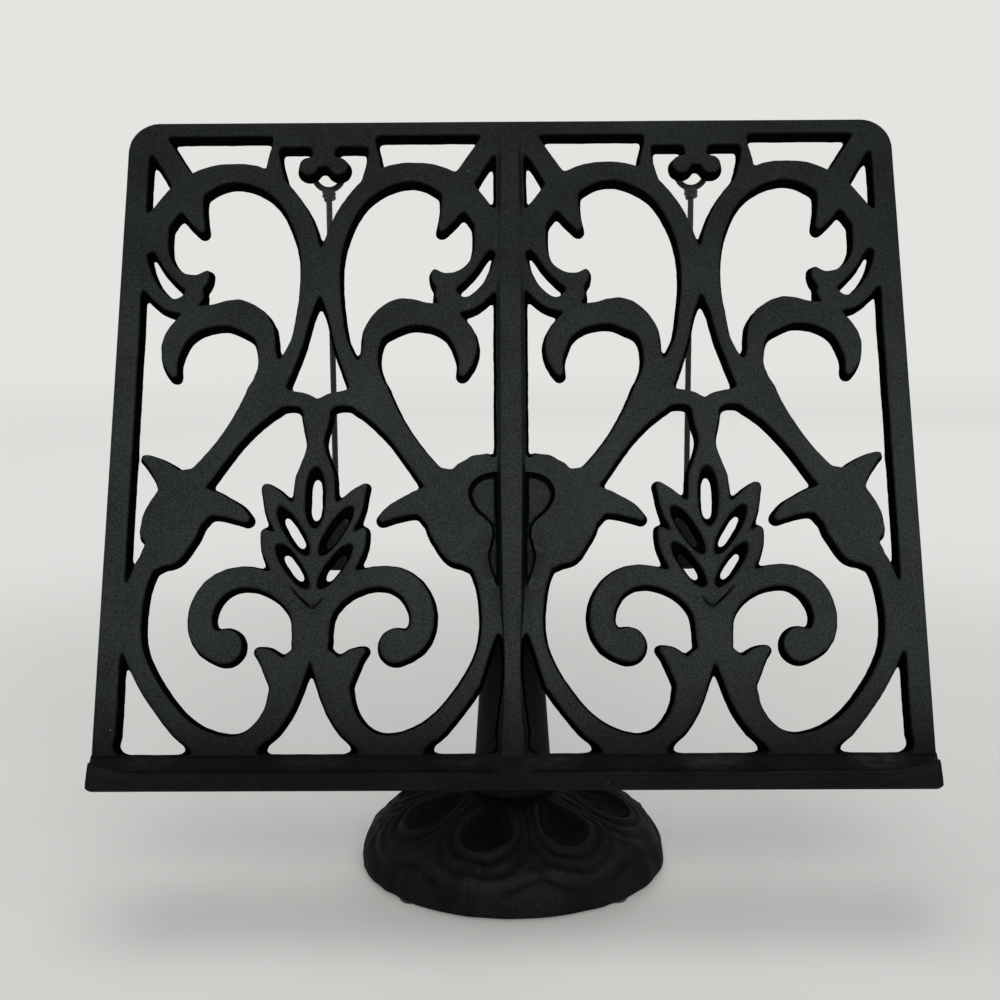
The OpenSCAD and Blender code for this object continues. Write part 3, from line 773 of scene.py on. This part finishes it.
def enclosed(tri, barrier):
    # triangles inside the outermost loops: each crossing of a loop changes side
    owner = {}
    for i, (a, b, c) in enumerate(tri):
        for e in ((a, b), (b, c), (c, a)):
            owner.setdefault((min(e), max(e)), []).append(i)
    side = [None] * len(tri)
    todo = []
    for edge, who in owner.items():
        if len(who) == 1 and side[who[0]] is None:
            side[who[0]] = edge in barrier
            todo.append(who[0])
    while todo:
        i = todo.pop()
        a, b, c = tri[i]
        for e in ((a, b), (b, c), (c, a)):
            edge = (min(e), max(e))
            for j in owner[edge]:
                if side[j] is None:
                    side[j] = side[i] != (edge in barrier)
                    todo.append(j)
    return np.array(side, bool)


def layered(field, gx, gy, levels, depths, loopsAt, lines=()):
    # triangles over all contour loops, lifted to the depth of their level
    pts, edges, exact = [], [], []
    for level, depth in zip(levels, depths):
        for loop in loopsAt[level]:
            start = len(pts)
            pts += [Vector(p) for p in loop]
            exact += [depth] * len(loop)
            edges += [(start + i, start + (i + 1) % len(loop)) for i in range(len(loop))]
        if level == levels[0]:
            outer = len(edges)
    for line in lines:
        start = len(pts)
        pts += [Vector((x, v)) for x, v, n in line]
        exact += [n for x, v, n in line]
        edges += [(start + i, start + i + 1) for i in range(len(line) - 1)]
    out = delaunay_2d_cdt(pts, edges, [], 0, 1e-5)
    flat = np.array([tuple(p) for p in out[0]])
    tri = [tuple(t) for t in out[2]]
    barrier = {(min(e), max(e)) for e, origin in zip(out[1], out[4]) if any(o < outer for o in origin)}
    tri = np.array(tri)[enclosed(tri, barrier)]
    depth = np.interp(sample(field, gx, gy, flat), levels, depths)
    for i, origin in enumerate(out[3]):
        if len(origin):
            depth[i] = exact[origin[0]]
    return np.column_stack([flat, depth]), tri


def drawnAnew(loop):
    # the slots of the sprays and the leaf have outlines of their own
    x, v = abs(loop[:, 0].mean()), loop[:, 1].mean()
    slot = abs(areaOf(loop)) < 130 and 58 < v < 104 and abs(x - lugMake["x"]) < 14
    return slot or (x < 14 and 55 < v < 102)


def fretField():
    m = restMake
    loops = sorted(openingLoops(), key=lambda p: -abs(areaOf(p)))[1:]
    loops = [p for p in loops if abs(areaOf(p)) > 8]
    others = [p for p in loops if not drawnAnew(p)]
    print("openings", len(others), "and", len(loops) - len(others), "drawn anew")
    gx = np.arange(-m["w"] / 2 - 2, m["w"] / 2 + 2.01, m["step"])
    gy = np.arange(m["low"] - 2, m["h"] + 2.01, m["step"])
    px, py = np.meshgrid(gx, gy)
    half, high, arc = m["w"] / 2, m["h"], m["corner"]
    outer = np.minimum(np.minimum(half - np.abs(px), high - py), py - m["low"])
    cx, cy = np.abs(px) - half + arc, py - high + arc
    outer = np.where((cx > 0) & (cy > 0), arc - np.hypot(cx, cy), outer)
    # the outer walls stand steeper than those of the openings
    edge = np.where(outer < 0.35, outer * (m["draft"] + 0.58) / 0.35 - m["draft"], outer + 0.23)
    field = blurred(distanceField(others, gx, gy), m["blur"] / m["step"])
    # the openings reach down to the shelf, with round corners there
    low = np.clip((m["sill"] - py) / 3, 0, 1)
    field = field * (1 - low) + blurred(field, m["sillBlur"] / m["step"]) * low - m["sillDrop"] * low
    gaps = distanceField([np.array(gapMake) * (side, 1) for side in (-1, 1)], gx, gy)
    field = np.minimum(np.minimum(field, slotField(gx, gy)), blurred(gaps, 1.2) + 0.45)
    uneven = m["wobble"] * wander(px, py, 26.0, 4) + m["ragged"] * wander(px, py, 4.0, 8)
    field += uneven * np.clip(outer / 6, 0, 1)
    leafLoop = smoothLine(leafMake["edge"])
    leaf = distanceField([leafLoop * (side, 1) for side in (-1, 1)], gx, gy)
    return np.minimum(np.minimum(field, edge), m["reach"]), blurred(leaf, 0.8), gx, gy


def fretwork():
    m = restMake
    field, leaf, gx, gy = fretField()
    d, t = m["draft"], m["t"]
    frontLevels = [-d, -0.42, 0.0, 0.32, 0.47, 0.64, 0.92, 1.5, 2.6]
    frontDepths = [-t + 0.75, -t + 2.3, -2.5, -1.15, -0.6, -0.25, -0.06, 0.0, 0.0]
    backLevels = [-d, -d + 0.12, -d + 0.5, 1.6]
    backDepths = [-t + 0.75, -t + 0.3, -t, -t]
    loopsAt = {}
    for level in sorted(set(frontLevels + backLevels)):
        loopsAt[level] = [respaced(p, m["spacing"] * (1.0 if level < 1 else 1.35))
                          for p in contours(field, level, gx, gy)]
    print("outline points", sum(len(p) for p in loopsAt[-d]), "loops", len(loopsAt[-d]))
    creases = []
    for sign in (-1, 1):
        for spine in creaseMake["spines"]:
            arm = 0.25 if spine[0][0] > 0 else -0.25
            for off, share in creaseMake["shares"]:
                creases.append([(sign * (lugMake["x"] + x + off * arm), v + off, depth * share)
                                for x, v, depth in spine])
    for inside, depth in zip(leafMake["inside"], leafMake["depth"]):
        for loop in contours(leaf, -inside, gx, gy):
            loop = respaced(loop, m["spacing"])
            creases.append([(x, v, depth) for x, v in np.vstack([loop, loop[:1]])])
    front, frontTri = layered(field, gx, gy, frontLevels, frontDepths, loopsAt, creases)
    back, backTri = layered(field, gx, gy, backLevels, backDepths, loopsAt)
    front[:, 2] += 0.10 * wander(front[:, 0], front[:, 1], 40.0, 9) * (front[:, 2] > -0.3)
    verts = np.vstack([fromPanel(front), fromPanel(back)])
    faces = [tuple(f) for f in frontTri] + [tuple(f[::-1] + len(front)) for f in backTri]
    obj = closeMesh(makeObject("bookRest", verts, faces, restPaintAndShade))
    return obj, field, leaf, gx, gy


def roundedRect(w, h, r, per=6):
    pts = []
    for cx, cy, a0 in ((w / 2 - r, h / 2 - r, 0), (-w / 2 + r, h / 2 - r, 90), (-w / 2 + r, -h / 2 + r, 180),
                       (w / 2 - r, -h / 2 + r, 270)):
        for i in range(per + 1):
            a = math.radians(a0 + 90 * i / per)
            pts.append((cx + r * math.cos(a), cy + r * math.sin(a)))
    return pts


def slab(w, h, r, centre, layers):
    # rounded block in the panel's frame: layers of (inset, depth)
    sections = []
    for inset, depth in layers:
        ring = roundedRect(w - 2 * inset, h - 2 * inset, max(r - inset, 0.3))
        sections.append(fromPanel([(centre[0] + x, centre[1] + v, depth) for x, v in ring]))
    return loft(sections)


def shelfSections():
    # profile run along the stand; its ends splay from the lip back to the panel
    m = restMake
    half, slope = m["shelfL"] / 2, math.tan(tilt)
    ends = np.array([0.0, 0.5, 1.2, 2.0, 3, 4.5, 6, 8, 10, 12, 14, 16])
    stops = np.concatenate([np.linspace(-half + 18, half - 18, 84), half - ends, ends - half])
    sections = []
    for x in np.unique(np.round(stops, 3)):
        end = half - abs(x)
        ear = m["earRise"] * (1 - min(end / m["earRun"], 1.0)) ** 1.6 - 0.5 * math.exp(-end / 0.7)
        pinch = (1 - min(end / 2.0, 1.0)) ** 2
        uneven = 0.2 * wander(x, 0.0, 30.0, 12)
        ragged = 0.16 * wander(x, 0.0, 5.0, 5)
        front, top, low = -m["lipReach"] + 0.3 + 0.5 * pinch, m["lipH"] + ear + uneven, -m["shelfT"]
        rise = m["shelfRise"] + 0.12 * wander(x, 0.0, 7.0, 6)
        prof = [(6.6, low), (7.3, low + 0.5), (7.3, rise - 0.3 - 7.3 * slope)]
        prof += [(y, rise - y * slope) for y in (6.8, 3.6, 0.8)]
        prof += [(-0.7, 0.45), (-2.2, 0.2), (-4.5, 0.04), (-8.0, -0.08), (-12.5, -0.14), (-16.5, 0.02)]
        inner = front + 5.3
        prof += [(inner + 2.4, 0.25), (inner + 0.9, 0.6), (inner, 0.4 * top + 0.4),
                 (inner - 0.5, 0.76 * top + 0.2)]
        for a in (35, 65, 90, 115, 145, 170):
            a = math.radians(a)
            prof.append((front + 2.2 + 2.2 * math.cos(a), top - 1.2 + 1.2 * math.sin(a)))
        prof += [(front - 0.05, 0.2 * top - 0.4), (front + 0.05, low * 0.5 + 0.4 + ragged),
                 (front + 0.5, low * 0.82 + 0.5 + ragged + 0.8 * pinch),
                 (front + 1.6, low + 0.6 + 0.9 * pinch), (front + 3.4, low + 0.4 + 0.7 * pinch), (-10.0, low)]
        ring = []
        for y, z in prof:
            splay = 1 + (m["w"] / 2 / half - 1) * min(max(1 + y / m["lipReach"], 0.0), 1.0)
            lean = 1 - m["earLean"] / half * min(max((z + 1) / 7, 0.0), 1.0)
            ring.append((x * splay * lean * mm, (m["y"] + y) * mm, (m["z"] + z) * mm))
        sections.append(ring)
    return sections


def eyeLug(side):
    # lug with rounded edges behind the top rail, in a plane across the stand
    lug, sections = lugMake, []
    for inset, x in ((0.55, -2.0), (0.15, -1.75), (0.0, -1.3), (0.0, 1.3), (0.15, 1.75), (0.55, 2.0)):
        ring, r = [], lug["r"] - inset
        for i in range(25):
            a = math.radians(180 + 180 * i / 24)
            ring.append((r * math.cos(a), r * math.sin(a)))
        ring += [(r, 2.0), (r + 0.5, 5.2), (r + 1.6, 7.4), (-r - 1.6, 7.4), (-r - 0.5, 5.2), (-r, 2.0)]
        sections.append(fromPanel([(side * lug["x"] + x, lug["v"] + v, lug["n"] + n) for v, n in ring]))
    return loft(sections)


def cylinderTool(name, start, end, radius, count=40):
    start, end = np.array(start, float), np.array(end, float)
    axis = (end - start) / np.linalg.norm(end - start)
    u = np.cross(axis, (0.3, 0.9, 0.1))
    u /= np.linalg.norm(u)
    w = np.cross(axis, u)
    turns = [2 * math.pi * k / count for k in range(count)]
    rings = [[tuple(p + radius * (math.cos(a) * u + math.sin(a) * w)) for a in turns] for p in (start, end)]
    return closeMesh(makeObject(name, *loft(rings), restPaintAndShade))


# centre rib by height: half width of its flat top, flank, rise, and the painted shade on its flanks
ribMake = {"flat": ((0, 6, 14, 21, 28, 34, 40, 48, 60, 95, 180, 206, 220),
                    (3.7, 3.6, 3.1, 2.75, 2.5, 2.5, 2.75, 3.0, 3.1, 3.6, 3.6, 3.2, 3.0)),
           "flank": ((0, 6, 10, 14, 19, 24, 28, 40, 46, 56),
                     (1.6, 1.55, 1.3, 1.05, 0.75, 0.4, 0.25, 0.3, 0.8, 1.5)),
           "rise": ((-1, 168, 174, 198, 204, 221, 229, 231), (1.2, 1.2, 0.35, 0.35, 1.2, 1.2, 0.2, 0.02)),
           "shade": ((0, 42, 48, 56, 59, 100, 104, 168, 174, 198, 204, 222, 228),
                     (0.5, 0.6, 0.72, 0.75, 0.93, 0.93, 0.5, 0.5, 0.1, 0.1, 0.5, 0.5, 0.05))}
# painted light and shade: tone of the faces up the panel, across the shelf and up the lip's front
paintedLightMake = {"face": ((1.5, 7, 14, 26, 45, 110, 150, 185, 210, 236),
                     (0.36, 0.48, 0.66, 0.86, 0.97, 1, 0.88, 0.73, 0.67, 0.63)),
            "ledgeShade": ((-24.5, -23.0, -20.0, -17.0, -11.0, -3.0, -0.5, 1.0),
                      (0.30, 0.20, 0.05, 0.07, 0.24, 0.32, 0.16, 0.26)),
            "lip": ((-3.4, -2.6, -1, 1.2, 2.6), (0.55, 0.38, 0.32, 0.25, 0.28)),
            "litLipEnds": 0.12, "back": 0.7, "under": 0.34}


def ribAt(what, v):
    return np.interp(v, *ribMake[what])


def ribShape():
    sections = []
    for v in np.linspace(-1.0, 231.0, 117):
        flat, flank, lift = (float(ribAt(what, v)) for what in ("flat", "flank", "rise"))
        w = flat + flank + 0.08 * wander(v, 0.0, 50.0, 3)
        deep = -3.4 if 57 < v < 100 else -1.0
        half = [(w, deep), (w, 0.2 * lift), (w - 0.3 * flank, 0.45 * lift), (w - 0.62 * flank, 0.7 * lift),
                (w - 0.85 * flank, 0.92 * lift), (w - 1.05 * flank, lift)]
        ring = half + [(0, lift + 0.03)] + [(-x, n) for x, n in half[::-1]]
        sections.append(fromPanel([(x, v, n) for x, n in ring]))
    return loft(sections)


def paintRest(mesh, field, leaf, gx, gy):
    tone = paintedLightMake
    spots = vertexSpots(mesh)
    p, xyz = toPanel(spots), spots / mm
    x, v, depth = np.abs(p[:, 0]), p[:, 1], p[:, 2]
    level = sample(field, gx, gy, p[:, :2])
    rim = np.exp(-((level - 0.6) / 0.3) ** 2) * (depth > -1.3) * (depth < 0.6)
    # a painted highlight line along the lip's crest, added to the edge attribute
    lip = np.exp(-((xyz[:, 1] + 60.4) / 1.2) ** 2) * (xyz[:, 2] > 55.5)
    paintValues(mesh, "rim", np.maximum(rim, lip * 0.5))
    # painted shade and light: walls dark by depth, faces darker near the shelf and towards the top, lightest
    # in the middle
    face = np.clip((depth + 0.95) / 0.65, 0, 1) * np.interp(v, *tone["face"])
    # painted shade: the leaf's dark wall round its paler floor
    inLeaf, tail = -sample(leaf, gx, gy, p[:, :2]), np.clip((v - 79) / 6, 0, 1)
    floorAt = 0.75 + 0.75 * tail
    leafShade = np.maximum((0.15 - inLeaf) / 0.15, (inLeaf - floorAt) / 0.45)
    face = np.where((inLeaf > 0) & (depth > -3.4), np.clip(leafShade, 0.02, 0.6 + 0.35 * tail), face)
    face = np.where(depth < -6.0, tone["back"], face)
    # painted shade and highlight: the shelf's dark trough and crease, its shaded underside, and the lip's
    # front with a lighter lower edge and lighter ends
    y, z = xyz[:, 1] - restMake["y"], xyz[:, 2] - restMake["z"]
    face = np.where((z < 7.5) & (depth > 0.3) & (x > 5.2), np.interp(y, *tone["ledgeShade"]), face)
    face = np.where(z < -1.0, tone["under"], face)
    lipTone = np.interp(z, *tone["lip"]) + tone["litLipEnds"] * np.clip((x - 118) / 18, 0, 1)
    face = np.where(y < -24.4, lipTone, face)
    # painted shade on the rib's own faces: dark sides, less so where the scrolls join it
    count = len(mesh.polygons)
    middle, total, corner = np.empty(count * 3), np.empty(count, int), np.empty(len(mesh.loops), int)
    mesh.polygons.foreach_get("center", middle)
    mesh.polygons.foreach_get("loop_total", total)
    mesh.loops.foreach_get("vertex_index", corner)
    mx, mv, mn = toPanel(middle.reshape(-1, 3)).T
    onRib = np.repeat((np.abs(mx) < 5.4) & (mn > 0.17) & (mn < 1.35) & (mv > 0), total)
    side = np.interp((x - ribAt("flat", v)) / ribAt("flank", v), (0.05, 0.2), (0, 1))
    ribShaded = face * (1 - side * ribAt("shade", v))
    paintValues(mesh, "face", np.where(onRib, ribShaded[corner], face[corner]), "CORNER")


def bookRest():
    boss, lug = bossMake, lugMake
    obj, field, leaf, gx, gy = fretwork()
    seat = slab(boss["w"], boss["h"], boss["corner"], (0, boss["v"]), boss["layers"])
    for name, shape in (("rib", ribShape()), ("boss", seat), ("leftLug", eyeLug(-1)), ("rightLug", eyeLug(1)),
                        ("shelf", loft(shelfSections()))):
        combine(obj, closeMesh(makeObject(name, *shape, restPaintAndShade)), "UNION")
    bore = fromPanel([(0, boss["v"], n) for n in boss["bore"]])
    combine(obj, cylinderTool("boltBore", *bore, boss["boreR"] * mm), "DIFFERENCE")
    for sign in (-1, 1):
        hole = fromPanel([(sign * lug["x"] + end * lug["holeHalf"], lug["v"], lug["n"]) for end in (-1, 1)])
        combine(obj, cylinderTool("eyeHole", *hole, lug["holeR"] * mm), "DIFFERENCE")
    mesh = obj.data
    mesh.shade_smooth()
    mesh.set_sharp_from_angle(angle=math.radians(restMake["sharp"]))
    paintRest(mesh, field, leaf, gx, gy)
    for poly in mesh.polygons:
        poly.material_index = 0
    while len(mesh.materials) > 1:
        mesh.materials.pop()
    print("book rest", len(mesh.polygons), "faces")
    carry(obj, "stand", "book_rest")


bookRest()


# foot: a dome with eight hollow pods, folds between them and a wavy hem
footMake = {"axisY": 5.5, "r": 57.0, "edgeR": 56.4, "rimTop": 4.0, "dome": 27.0, "seatR": 17.5, "felt": 1.5,
            "hollowR": 47.0, "hollowH": 22.0, "hollowZ": 21.99, "boltR": 4.3, "pods": 8, "podAt": 35.5,
            "podR": 10.2, "turn": -0.13, "hemAt": 52.2, "around": 360, "rings": 104,
            # tone by radius: painted shade, darker up near the stem than out at the rim
            "tone": ((18, 30, 44, 53), (0.5, 0.75, 0.85, 1.3))}


def footRelief(r, a):
    # height over the dome in millimetres
    m = footMake
    span = 2 * math.pi / m["pods"]
    px, py = r * np.sin(a), r * np.cos(a)
    b = (a + m["turn"] + 0.05 * wander(px, py, 46.0, 31)) % span - span / 2
    across, along = np.sin(b) * r, np.cos(b) * r
    size = m["podR"] + 0.8 * wander(px, py, 60.0, 33)
    taper = np.interp(along, (17, 22, 30, m["podAt"]), (1.4, 3.4, 8.0, m["podR"])) + size - m["podR"]
    gap = np.where(along < m["podAt"], taper - np.abs(across), size - np.hypot(along - m["podAt"], across))
    start = np.clip((along - 18.5) / 6.0, 0, 1)
    bowl = np.clip((gap + 0.4) / 7.5, 0, 1)
    scoop = -1.7 * bowl * bowl * (3 - 2 * bowl) * (0.3 + 0.7 * np.clip((along - 20) / 20, 0, 1))
    curl = (0.95 * np.exp(-(gap / 1.1) ** 2) - 0.55 * np.exp(-((gap - 1.9) / 0.75) ** 2)) * start
    outside = np.maximum(-gap, 0)
    ripple = np.cos(2 * math.pi * (outside + 0.9 * wander(px, py, 15.0, 35)) / 4.4) * np.exp(-outside / 9)
    ripple = 0.62 * ripple * np.clip(outside / 1.6, 0, 1) * np.clip((along - 29) / 8, 0, 1)
    fold = np.sin(b - np.sign(b) * span / 2) * r
    crease = 0.7 * np.exp(-(fold / 2.8) ** 2) - 0.75 * np.exp(-(fold / 0.8) ** 2)
    crease = crease * np.clip((r - 20) / 6, 0, 1) * np.clip((47 - r) / 8, 0, 1)
    wave = m["hemAt"] + 1.3 * np.cos(b * m["pods"]) + 0.8 * wander(px, py, 16.0, 36)
    hem = 0.5 * np.exp(-((r - wave) / 1.1) ** 2) - 0.45 * np.exp(-((r - wave - 1.9) / 0.9) ** 2)
    lumps = 0.42 * wander(px, py, 16.0, 37) + 0.24 * wander(px, py, 7.0, 39)
    return scoop + curl + ripple + crease + hem + lumps * np.clip((r - 20) / 6, 0, 1)


def pedestalFoot():
    m = footMake
    count, under = m["around"], m["felt"]
    a = np.arange(count) / count * 2 * math.pi
    # from the seat down the dome, round the rim, under it and up the hollow
    radii = np.concatenate([[m["boltR"], m["seatR"] - 0.2], np.linspace(m["seatR"] + 0.3, 55.6, m["rings"]),
                            [56.2, 56.6]])
    top = m["rimTop"] + m["dome"] * math.sqrt(1 - (m["seatR"] / m["r"]) ** 2)
    rows = []
    for r in radii:
        z = top
        if r >= m["seatR"]:
            fade = np.clip((r - m["seatR"] - 1.0) / 3.0, 0, 1)
            dome = m["rimTop"] + m["dome"] * math.sqrt(max(1 - (r / m["r"]) ** 2, 0))
            z = np.minimum(dome + fade * footRelief(np.full(count, r), a), top + 0.9)
        rows.append((r, z))
    ex, ey = m["r"] * np.cos(a), m["r"] * np.sin(a)
    lump = 0.45 * wander(ex, ey, 40.0, 21) + 0.35 * wander(ex, ey, 11.0, 22)
    edge = np.minimum(m["edgeR"] + lump, m["r"])
    rows = [(r * (1 + (edge / m["r"] - 1) * np.clip((r - 36) / 18, 0, 1)), z) for r, z in rows]
    hang = 0.3 + 0.3 * wander(ex, ey, 14.0, 23)
    rows += [(edge, 3.3 + hang), (edge - 0.05, 2.2 + hang), (edge - 0.7, 1.62 + np.maximum(hang, 0) * 0.7),
             (edge - 1.5, under), (m["hollowR"] + 0.5, under), (m["hollowR"] - 0.1, under + 0.6)]
    last = math.asin((m["hollowZ"] - under) / m["hollowH"])
    for i in range(1, 15):
        t = last * i / 14
        rows.append((m["hollowR"] * math.cos(t), under + m["hollowH"] * math.sin(t)))
    rows.append((m["boltR"], m["hollowZ"]))
    verts = []
    for r, z in rows:
        z = np.broadcast_to(z, count)
        verts += list(zip(r * np.sin(a) * mm, (m["axisY"] - r * np.cos(a)) * mm, z * mm))
    faces = ringFaces(len(rows), count, closed=True)
    obj = closeMesh(makeObject("pedestalFoot", verts, faces, footPaintAndShade), sharp=60)
    x, y, z = vertexSpots(obj.data).T / mm
    r = np.hypot(x, y - m["axisY"])
    relief = footRelief(r, np.arctan2(x, m["axisY"] - y))
    paintValues(obj.data, "rim", np.clip(relief / 1.4, 0, 1) * (z > m["rimTop"]))
    # painted shade: the foot's hollows darker than its ridges, and the whole foot darker up near the stem
    paintValues(obj.data, "face", np.clip(0.3 + relief * 0.15, 0.13, 0.9) * np.interp(r, *m["tone"]))
    print("foot", len(obj.data.polygons), "faces")
    carry(obj, "stand", "pedestal_base")


pedestalFoot()


# stem, fasteners and pads
def dressNode(node, mat, width, name, sharp=40):
    return carry(softenedNode(node, mat, width, name, sharp), "stand", node)


stem = dressNode("pedestal_stem", footPaintAndShade, 0.4, "pedestalStem", sharp=30).data
# painted shadow: the whole stem darkened to a fixed 0.42
paintValues(stem, "face", np.full(len(stem.loops), 0.42), "CORNER")
for node, name, width in (("rest_bolt", "restBolt", 0.3), ("rest_washer", "restWasher", 0.18),
                          ("rest_lock_washer", "restLockWasher", 0.18), ("base_bolt", "baseBolt", 0.35),
                          ("base_washer", "baseWasher", 0.2), ("base_lock_washer", "baseLockWasher", 0.2)):
    dressNode(node, steel, width, name)
padMake = {"ring": 51.0, "r": 4.0, "t": 1.5}


def feltPad(i):
    m = padMake
    a = math.radians(45 + 90 * i)
    cx, cy = m["ring"] * math.cos(a), footMake["axisY"] + m["ring"] * math.sin(a)
    count, sections = 48, []
    for inset, z in ((0.5, 0.0), (0.15, 0.06), (0.02, 0.35), (0.0, 0.8), (0.05, 1.2), (0.12, m["t"])):
        ring = []
        for k in range(count):
            b = 2 * math.pi * k / count
            r = m["r"] - inset - 0.04 * abs(math.sin(11 * b + i)) - 0.03 * abs(math.sin(23 * b + 2 * i))
            ring.append(((cx + r * math.cos(b)) * mm, (cy + r * math.sin(b)) * mm, z * mm))
        sections.append(ring)
    pad = closeMesh(makeObject("feltPad%d" % (i + 1), *loft(sections), felt))
    carry(pad, "stand", "foot_pad_%d" % (i + 1))


for i in range(4):
    feltPad(i)
print("stem, fasteners and pads done")


# stage: the floor partly glows, a painted light that is dimmer near the stand
stageMake = {"size": 30.0, "near": (0.80, 0.80, 0.77, 1), "pale": (0.82, 0.82, 0.79, 1),
             "far": (0.775, 0.78, 0.755, 1), "glow": (0.50, 0.50, 0.475, 1), "sky": (0.93, 0.97, 1.0, 1),
             "skyPower": 0.22}
# softboxes: place, aim, size and power
lampMake = {"frontSoftbox": ((0.2, -2.1, 0.95), (0, 0, 0.15), 1.5, 42.0),
            "topSoftbox": ((-0.2, 0.1, 1.8), (0, 0.02, 0.1), 1.4, 12.0),
            "backSoftbox": ((0.5, 1.6, 0.9), (0, 0, 0.15), 1.2, 6.0)}


def makeFloor():
    s = stageMake["size"]
    mat, w = newMaterial("paleFloor")
    spot = objectSpot(w)
    away = w.add("ShaderNodeVectorMath", {"operation": "LENGTH"}, {0: spot}, out=1)
    paper = spot.noise(14.0, 2.0, 0.5)
    colour = paper.between(0.2, 0.8).mixColour(stageMake["near"], stageMake["pale"])
    lit = w.add("ShaderNodeBsdfDiffuse", {}, {"Color": colour})
    # painted light: the floor's glow, dimmer near the stand and as bright as the backdrop far off
    tone = away.between(0.12, 0.7).mixColour(stageMake["glow"], stageMake["far"])
    glow = w.add("ShaderNodeEmission", {}, {"Color": tone, "Strength": 1.0})
    share = away.between(0.1, 0.9) * 0.6 + away.between(0.9, 4.0) * 0.15 + 0.25
    mixed = w.add("ShaderNodeMixShader", {}, {0: share, 1: lit, 2: glow})
    w.add("ShaderNodeOutputMaterial", {}, {"Surface": mixed})
    turns = [2 * math.pi * k / 48 for k in range(48)]
    ring = [(s * math.cos(a), s * math.sin(a), 0) for a in turns]
    makeObject("paleFloor", ring, [tuple(range(len(ring)))], mat, smooth=False)


def makeLight():
    world = bpy.data.worlds.new("studio")
    scene.world = world
    world.use_nodes = True
    tree = world.node_tree
    tree.nodes.clear()
    w = Wire(tree)
    ray = w.add("ShaderNodeLightPath")
    camera, glossy, through = (ray.out("Is %s Ray" % kind) for kind in ("Camera", "Glossy", "Transmission"))
    seen = (camera + glossy + through).between(0, 1, smooth=False)
    plain = w.add("ShaderNodeBackground", {}, {"Color": stageMake["far"], "Strength": 1.0})
    soft = w.add("ShaderNodeBackground", {}, {"Color": stageMake["sky"], "Strength": stageMake["skyPower"]})
    both = w.add("ShaderNodeMixShader", {}, {0: seen, 1: soft, 2: plain})
    w.add("ShaderNodeOutputWorld", {}, {"Surface": both})
    for name, (spotAt, aim, size, power) in lampMake.items():
        light = bpy.data.lights.new(name, "AREA")
        light.shape, light.size, light.energy = "SQUARE", size, power
        lamp = bpy.data.objects.new(name, light)
        scene.collection.objects.link(lamp)
        lamp.location = spotAt
        lamp.rotation_mode = "QUATERNION"
        lamp.rotation_quaternion = (Vector(aim) - Vector(spotAt)).to_track_quat("-Z", "Y")


makeFloor()
makeLight()
scene.view_settings.view_transform = "Standard"
